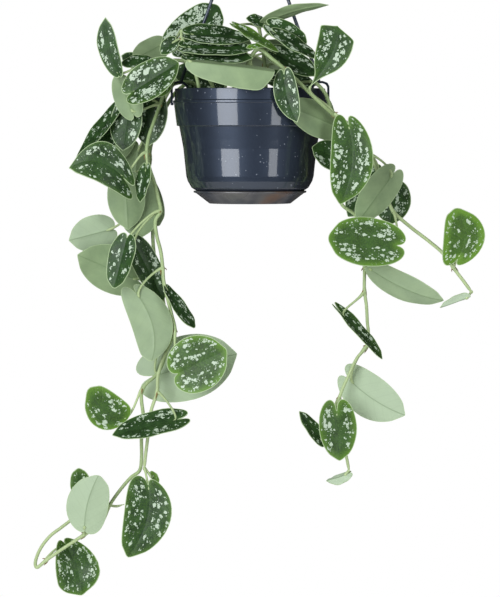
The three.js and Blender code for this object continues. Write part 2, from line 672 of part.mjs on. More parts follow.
    leaves: [
      { at: 4, base: [64, 90, -8], tip: [78, 96, -52], width: 38, face: [0.5, 0.85, 0.3] },
      { at: 5, base: [34, 98, -36], tip: [28, 104, -80], width: 38, face: [-0.1, 0.97, 0.2] },
      { at: 6, base: [50, 92, -66], tip: [48, 96, -102], width: 30, face: [0.4, 0.9, 0.2] },
      { at: 7, base: [44, 88, -84], tip: [38, 92, -110], width: 24, face: [0.1, 0.95, 0.2] },
    ],
  },
]

// ---------------------------------------------------------------- the part

const part = new THREE.Group()
const rimFrame = new THREE.Group()
rimFrame.position.z = -RIM_DROP
part.add(rimFrame)
rimFrame.add(mesh('pot', pot(), plastic))
rimFrame.add(mesh('drip_tray', dripTray(), plastic))
rimFrame.add(mesh('hanger', hanger(), plastic))
rimFrame.add(mesh('soil', soil(vines.map(stemHole)), peat))
for (const vine of vines) rimFrame.add(mesh(vine.name, vineSolid(vine), foliage))

export default part
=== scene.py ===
"""Looks of a satin pothos in its hanging pot, built piece by piece round the fixed frame.

Places are millimetres in the rim frame, as in the frame's own source: x and y from the pot's axis and
the height above the pot's rim. in_row_frame turns them to metres below the hook.
"""

import math
import random
from dataclasses import dataclass

import bmesh
import bpy
import numpy as np
from bpy.props import FloatProperty, FloatVectorProperty, IntProperty, PointerProperty
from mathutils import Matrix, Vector, noise


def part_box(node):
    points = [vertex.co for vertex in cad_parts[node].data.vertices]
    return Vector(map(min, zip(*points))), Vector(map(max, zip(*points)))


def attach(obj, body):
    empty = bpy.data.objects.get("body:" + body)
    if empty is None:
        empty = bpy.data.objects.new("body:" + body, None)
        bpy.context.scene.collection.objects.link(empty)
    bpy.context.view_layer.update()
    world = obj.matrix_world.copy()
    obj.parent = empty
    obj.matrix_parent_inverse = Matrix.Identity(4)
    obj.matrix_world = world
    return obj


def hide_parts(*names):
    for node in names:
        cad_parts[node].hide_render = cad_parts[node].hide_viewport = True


bl_info = {
    "name": "Satin Pothos in a Hanging Pot",
    "version": (1, 0, 0),
    "blender": (4, 5, 0),
    "location": "3D View > Sidebar > Pothos",
    "description": "Builds the pot, tray, hanger, soil and leafy vines of a satin pothos",
    "category": "Add Mesh",
}

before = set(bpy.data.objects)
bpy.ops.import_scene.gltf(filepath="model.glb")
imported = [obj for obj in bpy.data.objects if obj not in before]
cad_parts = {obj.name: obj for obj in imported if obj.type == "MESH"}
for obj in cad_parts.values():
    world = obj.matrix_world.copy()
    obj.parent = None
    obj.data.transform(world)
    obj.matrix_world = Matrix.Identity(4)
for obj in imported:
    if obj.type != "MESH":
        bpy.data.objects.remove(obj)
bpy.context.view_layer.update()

MM = 0.001
POT_LOW, POT_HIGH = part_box("pot")
RIM_HEIGHT = POT_HIGH.z / MM
BEAD_RADIUS = POT_HIGH.x / MM
BEAD_PROUD = 1.8  # how far the bead stands out past the rim
BEAD_TOP = -12
BEAD_FOOT = -14.3  # the hanger's clips hook under it
RIM_RADIUS = BEAD_RADIUS - BEAD_PROUD
POT_DEPTH = (POT_HIGH.z - POT_LOW.z) / MM
FLOOR_RADIUS = 54
SKIRT_DEPTH = 37
WALL = 1.8
FIT = 0.3  # gap between pieces that touch
SOIL_DEPTH = 13  # soil surface below the rim, at the wall
SOIL_RISE = 4  # how much higher it stands in the middle
SOIL_LUMP = (9, 1.1)  # how wide and how high its unevenness is
CRUMBS = 150
PERLITE_SHARE = 0.3
TRAY_TOP_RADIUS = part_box("drip_tray")[1].x / MM
TRAY_FOOT_RADIUS = 41.5
TRAY_DEPTH = 12.6
STUD_RADIUS = 3
DRAIN_RADIUS = 4
DRAIN_CIRCLE = 34
DRAINS = 4
TIDE_MARK = (24, -44, -110)  # middle of the stain on the tray

HOOK_RADIUS = 11
HOOK_ROD = 2.4
ARM_ROD = 1.7
CLIP_WIDTH = 9
BOSS_HEIGHT = 186  # where the two arms meet
BOSS_RADIUS = 5

BLADE_ROWS = 28  # from the notch round the lobe to the tip, half of them on each of the two arcs
BLADE_COLUMNS = (0, 0.035, 0.1, 0.21, 0.35, 0.5, 0.66, 0.82, 0.94, 1)  # from the midrib to the margin
BLADE_THICK = 0.72
MARGIN_THICK = 0.44
MIDRIB_REACH = 0.9  # half its width
MIDRIB_SUNK = 0.3  # how deep the midrib lies in the upper side
MIDRIB_PROUD = 0.55  # how far it stands out under the blade
PETIOLE_RADIUS = 1.15
PETIOLE_UNDER = (5, 0.65)  # how far it runs on under the midrib, and how deep
SPAN_STEPS = 6  # steps of a stem between two of its points
JOINT_SWELL = 0.45  # how far a stem stands proud at a joint
JOINT_REACH = 1.8  # how far along the stem it does so, to each side
VEIN_SPACING = 5
VEIN_LEAN = 0.7  # how far a side vein runs towards the tip for each millimetre that it runs outward
VEIN_CURL = 0.012  # how fast that lean grows outward

SOFTBOX_DISTANCE = 2.2  # in metres, as the two below
SOFTBOX_HEIGHT = 2.44
SOFTBOX_LIFT = 0.53  # its middle above the pot's
SOFTBOX_LIGHT = (0.94, 0.97, 1.0)  # a little cooler than white

# What a finish reads at each corner, besides the three numbers of blade_place.
LAYERS = ("vein", "margin", "splash", "young")
READINGS = 3 + len(LAYERS)
LEAF_UPPER, LEAF_UNDER, STEM, SHEATH = range(4)
PEAT, PERLITE = range(2)


def srgb(code):
    """The linear colour of an sRGB hex value, such as 0x39414F."""
    parts = [(code >> shift & 255) / 255 for shift in (16, 8, 0)]
    return tuple(c / 12.92 if c <= 0.04045 else ((c + 0.055) / 1.055) ** 2.4 for c in parts) + (1.0,)


def in_row_frame(point):
    x, y, height = point
    return Vector((x, y, height + RIM_HEIGHT)) * MM


# ---------------------------------------------------------------- settings


def colour(name, description, code):
    """A colour setting, with its default as an sRGB hex value."""
    return FloatVectorProperty(
        name=name, description=description, subtype="COLOR", size=4, min=0, max=1, default=srgb(code),
    )


def distance(name, description, default, least, most):
    """A setting in metres."""
    return FloatProperty(
        name=name, description=description, subtype="DISTANCE", unit="LENGTH",
        default=default, min=least, max=most,
    )


class PothosPotSettings(bpy.types.PropertyGroup):
    plastic: colour("Plastic", "Colour of the moulded pot, tray and hanger", 0x232B38)
    plastic_shade: colour("Plastic Shade", "Darker tone that the plastic's pigment drifts to", 0x1A2029)
    dust: colour("Dust", "Dust and dried drops on the pot", 0xA9B0BD)
    glow: colour("Glow", "Tint of the blurred light round the pot's reflections", 0xC9DCFF)
    smoke: colour("Smoke", "Tray's plastic where it is thinnest", 0x5C5C62)
    chalk: colour("Chalk", "Dried tap water on the tray", 0x77736E)
    tide_mark: colour("Tide Mark", "Stain on the tray where the pot drips", 0x7A4F22)
    peat: colour("Peat", "Colour of the moist potting soil", 0x2A211B)
    peat_hollow: colour("Peat Hollow", "Damp hollows between the crumbs", 0x17110D)
    perlite: colour("Perlite", "White grains in the soil", 0xE6E2DA)
    # The Perlite Pit colour is painted shade: it greys the white grains where their bump is low.
    perlite_pit_shade: colour("Perlite Pit", "Pits in those grains", 0xA79F92)
    round_steps: IntProperty(
        name="Round Steps", description="Faces round the pot and the tray", default=128, min=24, max=256,
    )


class PothosFoliageSettings(bpy.types.PropertyGroup):
    leaf_green: colour("Leaf Green", "Upper side of a grown leaf", 0x385A2C)
    leaf_dark: colour("Leaf Dark", "Darkest part of the upper side", 0x203A1C)
    leaf_young: colour("Young Leaf", "Upper side of a new leaf", 0x6A9630)
    silver: colour("Silver", "Splashes on the upper side", 0xCBDDC4)
    margin: colour("Margin", "Thin pale line round each blade", 0xBDD3A2)
    underside: colour("Underside", "Pale lower side of each blade", 0x9AB183)
    underside_shade: colour("Underside Shade", "Darker tone that the lower side drifts to", 0x889F76)
    underside_young: colour("Young Underside", "Lower side of a new leaf", 0xCADDBE)
    midrib: colour("Midrib", "Midrib and side veins on the lower side", 0x6F8A5C)
    stalk: colour("Stalk", "Young petioles and shoots", 0xCEE0A8)
    stalk_old: colour("Old Stalk", "Oldest part of a stem", 0x7A985C)
    sheath: colour("Sheath", "Dry scales and root stubs", 0xB3935E)
    sheath_shade: colour("Sheath Shade", "Darker fibres of the scales", 0x6E5733)
    margin_width: distance("Margin Width", "Width of the pale line", 0.0007, 0, 0.003)
    splash_size: distance("Splash Size", "Width of a silver splash across the veins", 0.0031, 0.001, 0.02)
    ripple: distance("Ripple", "How far a blade strays from an even curve", 0.0007, 0, 0.003)


class PothosStageSettings(bpy.types.PropertyGroup):
    camera_distance: distance("Camera Distance", "From the camera to the pot's axis", 3.2, 1, 10)
    camera_height: distance("Camera Height", "Camera above the pot's rim", -0.045, -1, 1)
    view_height: distance("View Height", "Height of the plant that the picture takes in", 0.597, 0.1, 2)
    view_middle: distance("View Middle", "Middle of the picture above the pot's rim", -0.2095, -1, 1)
    floor_drop: distance("Floor Drop", "From the hook down to the floor", 1.3, 0.8, 3)
    floor_radius: distance("Floor Radius", "How far the floor reaches from the pot's axis", 1.3, 0.5, 5)
    floor_paint: colour("Floor Paint", "Paint on the floor", 0xF7F6F4)
    floor_shade: colour("Floor Shade", "Darker tone that the paint drifts to", 0xF2F1EE)
    softbox: FloatProperty(
        name="Softbox", description="Brightness of the left softbox, which the others follow",
        default=4.7, min=0, max=20,
    )
    fill: FloatProperty(
        name="Fill", description="Brightness of the room round the plant", default=0.19, min=0, max=2,
    )


# ---------------------------------------------------------------- the plant


@dataclass(frozen=True)
class Leaf:
    """One leaf. at is the stem point that its petiole leaves, base is where the petiole meets the blade
    and face is where the upper side looks. bow carries the middle of the midrib out of the straight line
    from base to tip, fold raises both halves in a V and twist turns the tip about the midrib. lobe is how
    far the lobes reach back, wide is where the blade is widest, blunt rounds the tip and rise lifts the
    petiole. young runs from 0, grown, to 1, new, and silver makes the splashes larger."""

    at: int
    base: tuple
    tip: tuple
    width: float
    face: tuple
    bow: tuple = (0, 0, 0)
    fold: float = 0.12
    twist: float = 0
    lobe: float = 0.2
    wide: float = 0.38
    blunt: float = 0.4
    rise: float = 0.5
    young: float = 0
    silver: float = 0


@dataclass(frozen=True)
class Vine:
    """A stem's radius and the points that it grows through, its leaves, and shoots that bear none."""

    name: str
    radius: float
    stem: tuple
    leaves: tuple
    shoots: tuple = ()


VINES = (
    Vine(
        "vine_left_front", 2,
        stem=(
            (-46, 20, -30), (-46, 20, -9), (-56, 19, 5), (-72, 16, 6), (-83, 12, 0), (-90, 8, -17),
            (-95, 2, -31), (-101, -4, -49), (-103, -8, -65), (-100, -10, -79), (-95, -10, -94),
            (-91, -10, -110), (-89, -10, -122), (-94, -10, -131), (-93, -9, -146), (-89, -8, -162),
            (-87, -8, -179), (-86, -8, -193), (-82, -8, -210), (-78, -8, -226), (-75, -8, -241),
            (-80, -6, -254), (-87, -4, -270), (-92, -3, -287), (-93, -3, -303), (-99, -3, -322),
            (-102, -3, -346), (-105, -2, -370), (-106, 0, -380),
        ),
        leaves=(
            Leaf(5, (-116, -7, -25), (-133, -7, 16), 28, (0.25, 0.95, 0.1), silver=0.2),
            Leaf(5, (-97, 16, -8), (-103, 14, -58), 34, (-0.1, -0.95, 0.2)),
            Leaf(8, (-125, -26, -89), (-179, -32, -79), 43, (-0.1, -0.95, 0.3),
                 bow=(1, -5, 12), lobe=0.3, wide=0.3, blunt=0.1, rise=0.9, young=0.1),
            Leaf(8, (-103, -17, -78), (-109, -22, -113), 22, (-0.75, -0.65, 0.1)),
            Leaf(12, (-122, -22, -148), (-135, -26, -198), 30, (-0.5, -0.85, 0.1), lobe=0.15, blunt=1),
            Leaf(12, (-116, 2, -154), (-86, 2, -212), 32, (0.55, -0.8, 0.2)),
            Leaf(16, (-113, -14, -204), (-98, -16, -271), 41, (-0.1, 0.97, 0.1),
                 bow=(9, 0, 0), blunt=1, young=0.15),
            Leaf(16, (-84, -15, -197), (-55, -16, -238), 23, (0.8, -0.5, 0.3),
                 bow=(-1, 0, -1), lobe=0.08, wide=0.58, blunt=1),
            Leaf(20, (-72, -24, -283), (-23, -28, -259), 57, (0.05, -0.97, 0.25), blunt=0.6, young=0.6),
            Leaf(24, (-72, -20, -329), (-137, -28, -344), 37, (0.1, -0.55, 0.8), lobe=0.28),
            Leaf(28, (-102, -8, -396), (-122, -14, -468), 48, (0.05, -1, 0.1),
                 bow=(8, -2, 0), lobe=0.17, wide=0.32, blunt=0.7, young=0.2),
            Leaf(28, (-100, 0, -385), (-93, -2, -399), 12, (0.7, -0.5, 0.5), fold=0.5, young=0.9),
        ),
    ),
    Vine(
        "vine_left_back", 2,
        stem=(
            (-34, 46, -30), (-34, 46, -9), (-44, 50, 5), (-60, 52, 7), (-74, 50, -2),
            (-88, 44, -24), (-99, 38, -52), (-102, 34, -84), (-97, 30, -116), (-98, 26, -146),
            (-95, 22, -178), (-88, 18, -208), (-84, 12, -240), (-84, 8, -262), (-92, 6, -284),
            (-108, 4, -301), (-107, 4, -330), (-109, 6, -350), (-109, 8, -370), (-111, 6, -383),
            (-120, 3, -390), (-139, -2, -414), (-150, -4, -436), (-166, -8, -446),
            (-188, -12, -460), (-204, -14, -471), (-213, -14, -478), (-215, -10, -475),
            (-211, 0, -462), (-201, 6, -449), (-189, 8, -440), (-178, 10, -431), (-170, 12, -419),
        ),
        leaves=(
            Leaf(7, (-125, 12, -88), (-122, 8, -141), 38, (-0.1, 0.97, 0.1), silver=0.15),
            Leaf(7, (-111, 24, -94), (-112, 16, -150), 42, (0.05, 0.97, 0.1), blunt=0.8),
            Leaf(7, (-110, 42, -92), (-92, 34, -138), 28, (0.1, 0.97, 0.1), blunt=0.8),
            Leaf(8, (-140, 26, -141), (-182, 18, -152), 37, (-0.1, 0.97, 0.1), young=0.4),
            Leaf(10, (-113, 18, -192), (-173, 8, -166), 49, (0, 0.97, 0.15)),
            Leaf(12, (-95, 18, -288), (-13, 2, -265), 66, (0.05, 0.97, -0.2), lobe=0.34, young=0.3),
            Leaf(15, (-122, 2, -330), (-162, -4, -300), 38, (-0.15, -0.95, 0.2),
                 bow=(-2, 0, -7), lobe=0, wide=0.52, blunt=1, young=0.6),
            Leaf(23, (-165, -16, -441), (-151, -20, -385), 42, (0.1, 0.97, 0.1),
                 bow=(-4, 0, 0), lobe=0.08, wide=0.45, blunt=1, young=0.4),
            Leaf(32, (-168, 6, -408), (-172, 2, -380), 22, (-0.2, -0.9, 0.3), blunt=1, young=0.3),
            Leaf(25, (-186, 2, -456), (-169, -2, -508), 45, (0.75, -0.66, 0),
                 bow=(4, 0, 0), twist=1.4, lobe=0.15, wide=0.64, blunt=0.6, young=0.3),
        ),
        shoots=(((-141, -2, -417), (-134, -2, -418), (-126, -2, -416)),),
    ),
    Vine(
        "vine_left_upper", 2,
        stem=(
            (-34, -14, -30), (-34, -14, -8), (-44, -18, 14), (-66, -18, 27), (-88, -16, 26),
            (-104, -14, 22), (-112, -8, 6), (-115, -2, -8), (-116, 0, -20),
        ),
        leaves=(
            Leaf(5, (-130, -16, 12), (-143, -22, 70), 21, (-0.3, -0.93, 0.1),
                 bow=(-4, 0, 0), lobe=0.05, wide=0.5),
            Leaf(6, (-118, -28, -5), (-70, -36, 25), 43, (-0.25, -0.85, 0.45),
                 blunt=0.8, young=0.15, silver=0.15),
            Leaf(4, (-98, -6, 26), (-129, -10, 24), 24, (0, -0.6, 0.8)),
            Leaf(4, (-80, -20, 12), (-91, -26, -9), 16, (0.2, -0.9, 0.3), young=0.5),
            Leaf(7, (-121, 9, -16), (-127, 5, -62), 34, (-0.3, -0.9, 0.15)),
            Leaf(7, (-132, 15, -18), (-175, 2, -76), 28, (-0.68, -0.5, 0.5), lobe=0.32),
            Leaf(8, (-128, 22, -30), (-154, 18, -60), 32, (-0.3, -0.9, 0.3)),
        ),
    ),
    Vine(
        "vine_left_rear", 2,
        stem=(
            (-26, 36, -30), (-26, 36, -8), (-35, 47, 12), (-52, 60, 20), (-72, 68, 12),
            (-88, 70, -12), (-98, 72, -40), (-103, 70, -70), (-102, 68, -96),
        ),
        leaves=(
            Leaf(3, (-87, 44, 46), (-118, 36, 29), 28, (0.1, 0.95, -0.3), blunt=0.8),
            Leaf(4, (-112, 48, 26), (-130, 44, 34), 16, (-0.2, -0.9, 0.3)),
            Leaf(4, (-98, 86, -8), (-110, 94, -52), 36, (-0.5, 0.8, 0.3)),
            Leaf(5, (-126, 74, -30), (-136, 80, -74), 30, (-0.2, 0.95, 0.3)),
            Leaf(6, (-114, 88, -58), (-120, 96, -102), 32, (-0.2, 0.95, 0.3)),
            Leaf(7, (-110, 82, -106), (-114, 88, -148), 34, (-0.2, 0.95, 0.2)),
        ),
    ),
    Vine(
        "vine_right_long", 2.1,
        stem=(
            (-6, -32, -30), (-6, -32, -8), (-4, -38, 18), (8, -44, 38), (22, -50, 28),
            (34, -56, 18), (50, -64, 3), (68, -62, -14), (82, -52, -26), (98, -38, -38),
            (110, -26, -50), (119, -18, -66), (126, -16, -81), (133, -16, -101), (140, -16, -118),
            (143, -16, -123), (160, -18, -138), (177, -20, -151), (192, -22, -164),
            (202, -22, -178), (212, -22, -191), (220, -22, -202),
        ),
        leaves=(
            Leaf(5, (33, -74, 13), (46, -81, -34), 24, (-0.2, -0.95, 0.2), bow=(-3, 0, 0)),
            Leaf(9, (85, -42, -38), (35, -75, -17), 37, (-0.3, 0.9, -0.3)),
            Leaf(8, (56, -70, -2), (85, -74, 60), 36, (0.1, -0.95, 0.2),
                 bow=(8, -4, 2), lobe=-0.28, wide=0.84, blunt=0.3, young=0.1),
            Leaf(8, (96, -64, -36), (88, -68, -114), 42, (0, -1, 0.1),
                 bow=(7, -5, 0), wide=0.46, blunt=0.5, young=0.3),
            Leaf(9, (98, -12, -34), (105, -8, -62), 26, (0.2, -0.9, 0.3)),
            Leaf(11, (142, -26, -84), (106, -24, -133), 34, (-0.5, 0.85, -0.3)),
            Leaf(11, (130, 4, -84), (98, 6, -128), 34, (0, -1, 0.1)),
            Leaf(13, (143, 12, -96), (141, 12, -136), 38, (0.1, -1, 0.1), young=0.1, silver=0.15),
            Leaf(15, (145, -42, -155), (77, -48, -147), 49, (0, -0.97, 0.2),
                 wide=0.45, blunt=1, young=0.55),
            Leaf(19, (205, -32, -169), (204, -42, -118), 41, (0, -0.95, 0.2),
                 bow=(7, 0, 0), wide=0.45, blunt=1, young=1),
            Leaf(21, (218, -28, -206), (188, -31, -217), 12, (0, 0.6, 0.8), fold=0.7, lobe=0.05, young=1),
        ),
    ),
    Vine(
        "vine_right_lower", 1.9,
        stem=(
            (36, 24, -30), (36, 24, -9), (46, 8, 3), (56, -18, 6), (66, -36, 4), (75, -39, -7),
            (81, -34, -27), (90, -21, -54), (89, -8, -86), (89, -8, -106), (92, -8, -116),
            (106, -8, -127), (112, -10, -146), (113, -12, -166), (114, -12, -179),
            (114, -12, -201), (116, -12, -216), (117, -12, -233), (118, -12, -244),
            (116, -12, -257), (107, -12, -268), (99, -14, -284), (89, -16, -308), (86, -14, -330),
            (92, -12, -352), (96, -12, -366), (99, -12, -381),
        ),
        leaves=(
            Leaf(8, (92, -26, -72), (61, -36, -58), 30, (0.1, -0.9, 0.3)),
            Leaf(14, (117, -25, -177), (192, -29, -210), 30, (0.1, 0.85, 0.45),
                 bow=(0, 0, -5), lobe=0.05, wide=0.4, blunt=0.5, young=0.15),
            Leaf(15, (91, -26, -223), (131, -34, -268), 26, (0.7, -0.41, 0.57),
                 fold=0.25, lobe=0.35, wide=0.5, blunt=0.6, rise=-0.4, young=0.1),
            Leaf(19, (100, -4, -291), (155, -8, -326), 43, (0.1, 0.97, 0),
                 bow=(-2, 0, -3), lobe=0.28, young=0.5),
            Leaf(22, (86, -28, -320), (89, -34, -369), 38, (0.1, -0.97, 0.2),
                 lobe=0.36, wide=0.3, blunt=0.6, young=0.45),
            Leaf(22, (72, -14, -352), (49, -18, -321), 18, (0.3, -0.7, 0.6)),
            Leaf(26, (99, -12, -384), (76, -16, -391), 14, (0.2, 0.6, -0.75),
                 bow=(0, 0, -1), fold=0.4, young=1),
        ),
    ),
    Vine(
        "crown_front", 2,
        stem=(
            (-49, -35, -30), (-49, -35, -8), (-54, -36, 16), (-62, -32, 34), (-67, -28, 48),
            (-68, -24, 56),
        ),
        leaves=(
            Leaf(5, (-75, 12, 41), (-32, 38, 84), 45, (0.1, -0.85, 0.5),
                 bow=(2, 0, -1), blunt=0.9, silver=0.45),
            Leaf(5, (-60, -32, 53), (1, -30, 48), 40, (0, -0.5, 0.87), silver=0.12),
            Leaf(4, (-63, -42, 40), (4, -44, 38), 38, (0, -0.5, 0.87), silver=0.15),
            Leaf(3, (-60, -47, 32), (3, -49, 29), 38, (0, -0.5, 0.87), silver=0.15),
            Leaf(2, (-61, -72, 25), (24, -81, 15), 32, (-0.1, 0.75, -0.65),
                 bow=(0, -4, 0), fold=0.8, lobe=0.05, wide=0.78, blunt=1),
            Leaf(4, (-74, -16, 48), (-88, -20, 33), 18, (-0.2, -0.8, 0.5)),
        ),
    ),
    Vine(
        "crown_right", 2,
        stem=(
            (16, -6, -30), (16, -6, -8), (15, -4, 20), (12, -4, 44), (9, -4, 60), (7, -6, 67),
        ),
        leaves=(
            Leaf(5, (18, -20, 67), (78, -27, 82), 19, (-0.1, 0.55, 0.83),
                 bow=(0, 0, 3), wide=0.22, blunt=0),
            Leaf(5, (15, -18, 64), (-4, -22, 69), 20, (0, -0.6, 0.8)),
            Leaf(4, (19, -32, 62), (56, -38, 44), 28, (0.2, -0.75, 0.6), blunt=0.8, silver=0.15),
            Leaf(3, (25, -46, 54), (67, -52, 28), 25, (0.35, -0.55, 0.75), silver=0.15),
            Leaf(3, (22, -14, 36), (66, -26, 12), 36, (0.3, -0.65, 0.7), silver=0.1),
            Leaf(4, (-14, -42, 61), (28, -52, 35), 18, (0.4, -0.5, 0.75), blunt=0.9, young=0.5),
            Leaf(3, (14, -50, 42), (-4, -56, 39), 10, (0, -0.6, 0.8), young=0.8),
            Leaf(2, (42, 22, 26), (82, 34, 20), 34, (0.2, 0.2, 0.95)),
        ),
    ),
    Vine(
        "crown_back", 2,
        stem=(
            (2, 30, -30), (2, 30, -8), (2, 35, 14), (0, 46, 30), (-2, 58, 34),
        ),
        leaves=(
            Leaf(2, (-20, 40, 28), (-60, 40, 34), 42, (-0.1, 0.35, 0.9)),
            Leaf(2, (-30, 28, 8), (-78, 31, 18), 32, (-0.2, -0.9, 0.3)),
            Leaf(2, (20, 40, 10), (67, 41, 4), 42, (0.1, -0.45, 0.85)),
            Leaf(4, (-10, 66, 34), (-26, 108, 18), 42, (-0.1, 0.6, 0.8)),
            Leaf(4, (12, 66, 32), (30, 108, 14), 42, (0.1, 0.6, 0.8)),
            Leaf(3, (-7, 44, 43), (-31, 22, 56), 32, (0, 0.2, 0.97)),
            Leaf(3, (17, 46, 38), (39, 20, 50), 32, (0, 0.2, 0.97)),
        ),
    ),
    Vine(
        "vine_rear_left", 2,
        stem=(
            (-13, 53, -30), (-13, 53, -9), (-18, 64, 6), (-24, 79, 6), (-28, 88, -8),
            (-30, 90, -34), (-30, 88, -62), (-28, 86, -88),
        ),
        leaves=(
            Leaf(4, (-28, 100, -8), (-30, 108, -54), 34, (-0.2, 0.95, 0.3)),
            Leaf(5, (-12, 98, -42), (-2, 102, -86), 38, (0.1, 0.95, 0.2)),
            Leaf(6, (-42, 100, -66), (-46, 106, -106), 34, (-0.3, 0.95, 0.2)),
            Leaf(7, (-20, 92, -92), (-14, 94, -112), 16, (0.1, 0.9, 0.3), fold=0.4, young=0.8),
        ),
    ),
    Vine(
        "vine_rear_right", 2,
        stem=(
            (21, 51, -30), (21, 51, -9), (29, 62, 6), (39, 75, 6), (46, 83, -8), (50, 84, -32),
            (51, 82, -58), (50, 80, -80),
        ),
        leaves=(
            Leaf(4, (64, 90, -8), (78, 96, -52), 38, (0.5, 0.85, 0.3)),
            Leaf(5, (34, 98, -36), (28, 104, -80), 38, (-0.1, 0.97, 0.2)),
            Leaf(6, (50, 92, -66), (48, 96, -102), 30, (0.4, 0.9, 0.2)),
            Leaf(7, (44, 88, -84), (38, 92, -110), 24, (0.1, 0.95, 0.2)),
        ),
    ),
)


# ---------------------------------------------------------------- curves


def bezier(first, second, third, last, steps):
    """Points along a cubic arc, with both ends."""
    first, second, third, last = (np.array(point, float) for point in (first, second, third, last))
    t = np.linspace(0, 1, steps + 1)[:, None]
    u = 1 - t
    return u**3 * first + 3 * u * u * t * second + 3 * u * t * t * third + t**3 * last


def smooth_route(points, steps):
    """A centripetal Catmull-Rom curve through the points, with this many steps in each span."""
    points = np.array(points, float)
    ends = np.vstack([2 * points[0] - points[1], points, 2 * points[-1] - points[-2]])
    route = []
    t = np.linspace(0, 1, steps, endpoint=False)[:, None]
    for span in range(len(points) - 1):
        before, start, end, after = ends[span : span + 4]
        gap_before, gap, gap_after = (
            math.sqrt(np.linalg.norm(pair)) for pair in (start - before, end - start, after - end)
        )
        leave = (start - before) / gap_before - (end - before) / (gap_before + gap) + (end - start) / gap
        arrive = (end - start) / gap - (after - start) / (gap + gap_after) + (after - end) / gap_after
        leave, arrive = leave * gap, arrive * gap
        square = 3 * (end - start) - 2 * leave - arrive
        cube = 2 * (start - end) + leave + arrive
        route.append(start + leave * t + square * t**2 + cube * t**3)
    return np.vstack([*route, points[-1:]])


def smoothstep(low, high, value):
    """0 at low and 1 at high, with a soft start and end. low may be the greater of the two."""
    share = np.clip((value - low) / (high - low), 0, 1)
    return share * share * (3 - 2 * share)


def unit(vector):
    return vector / np.linalg.norm(vector)


def square_to(direction, wish):
    """The unit vector nearest to wish that stands square to a unit direction."""
    wish = np.asarray(wish, float)
    return unit(wish - direction * np.dot(wish, direction))


def even_turns(steps):
    """Angles in even steps round a full turn."""
    return np.linspace(0, 2 * math.pi, steps, endpoint=False)


def eased(profile, radius):
    """The profile with each corner between its ends rounded off. A point just outside each rounding keeps
    the flats between them flat in their shading."""
    points = [Vector(point) for point in profile]
    rounded = [points[0]]
    for before, corner, after in zip(points, points[1:], points[2:]):
        back = (before - corner) * min(radius / (before - corner).length, 0.35)
        ahead = (after - corner) * min(radius / (after - corner).length, 0.35)
        start, end = corner + back, corner + ahead
        rounded.append(start + 0.3 * back)
        for t in (0, 0.33, 0.67, 1):
            rounded.append(start * (1 - t) ** 2 + corner * 2 * t * (1 - t) + end * t * t)
        rounded.append(end + 0.3 * ahead)
    rounded.append(points[-1])
    return rounded


# ---------------------------------------------------------------- meshes


class Body:
    """Corners and faces of one piece in the rim frame, with what its finishes read at each corner."""

    def __init__(self):
        self.corners = []
        self.faces = []
        self.finishes = []
        self.readings = []
        self.count = 0

    def add(self, corners, faces, finish=0, readings=(0,) * READINGS):
        corners = np.asarray(corners, float).reshape(-1, 3)
        self.faces += [[index + self.count for index in face] for face in faces]
        self.finishes += [finish] * len(faces) if isinstance(finish, int) else list(finish)
        self.corners.append(corners)
        self.readings.append(np.broadcast_to(np.asarray(readings, float), (len(corners), READINGS)))
        self.count += len(corners)

    def add_tube(self, route, radii, sides, finish=0, young=0):
        """A rod of changing thickness along a route, closed at both ends. young is how fresh it is."""
        route = np.asarray(route, float)
        radii = np.broadcast_to(radii, len(route))
        readings = np.zeros((len(route) * sides, READINGS))
        readings[:, -1] = np.repeat(np.broadcast_to(young, len(route)), sides)
        tangents = np.gradient(route, axis=0)
        tangents /= np.linalg.norm(tangents, axis=1)[:, None]
        across = np.cross(tangents[0], (0.31, 0.87, 0.38))  # a direction that no route starts in
        corners = []
        turns = even_turns(sides)[:, None]
        for point, tangent, radius in zip(route, tangents, radii):
            across = square_to(tangent, across)
            upright = np.cross(tangent, across)
            corners.append(point + radius * (np.cos(turns) * across + np.sin(turns) * upright))
        faces = [list(range(sides))[::-1]]
        for ring in range(len(route) - 1):
            for side in range(sides):
                first, second = ring * sides + side, ring * sides + (side + 1) % sides
                faces.append([first, second, second + sides, first + sides])
        last = (len(route) - 1) * sides
        faces.append(list(range(last, last + sides)))
        self.add(np.vstack(corners), faces, finish, readings)

    def mesh(self, name):
        """The mesh in metres below the hook."""
        corners = (np.vstack(self.corners) + (0, 0, RIM_HEIGHT)) * MM
        made = bpy.data.meshes.new(name)
        made.from_pydata(corners.tolist(), [], self.faces)
        return made

    def piece(self, name, slot, node, materials, sharp):
        """Makes the object that stands for a node of the frame, and returns it. Its edges stay crisp where
        they bend by more than sharp, in degrees."""
        made = self.mesh(name)
        made.polygons.foreach_set("material_index", self.finishes)
        readings = np.vstack(self.readings).astype(np.float32)
        if readings.any():
            place = made.attributes.new("blade_place", "FLOAT_VECTOR", "POINT")
            place.data.foreach_set("vector", readings[:, :3].ravel())
            for column, attribute in enumerate(LAYERS, start=3):
                layer = made.attributes.new(attribute, "FLOAT", "POINT")
                layer.data.foreach_set("value", readings[:, column].copy())
        for material in materials:
            made.materials.append(material)
        made.shade_smooth()
        made.set_sharp_from_angle(angle=math.radians(sharp))
        made.update()
        piece = bpy.data.objects.new(name, made)
        bpy.context.scene.collection.objects.link(piece)
        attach(piece, "root")
        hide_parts(node)
        return piece


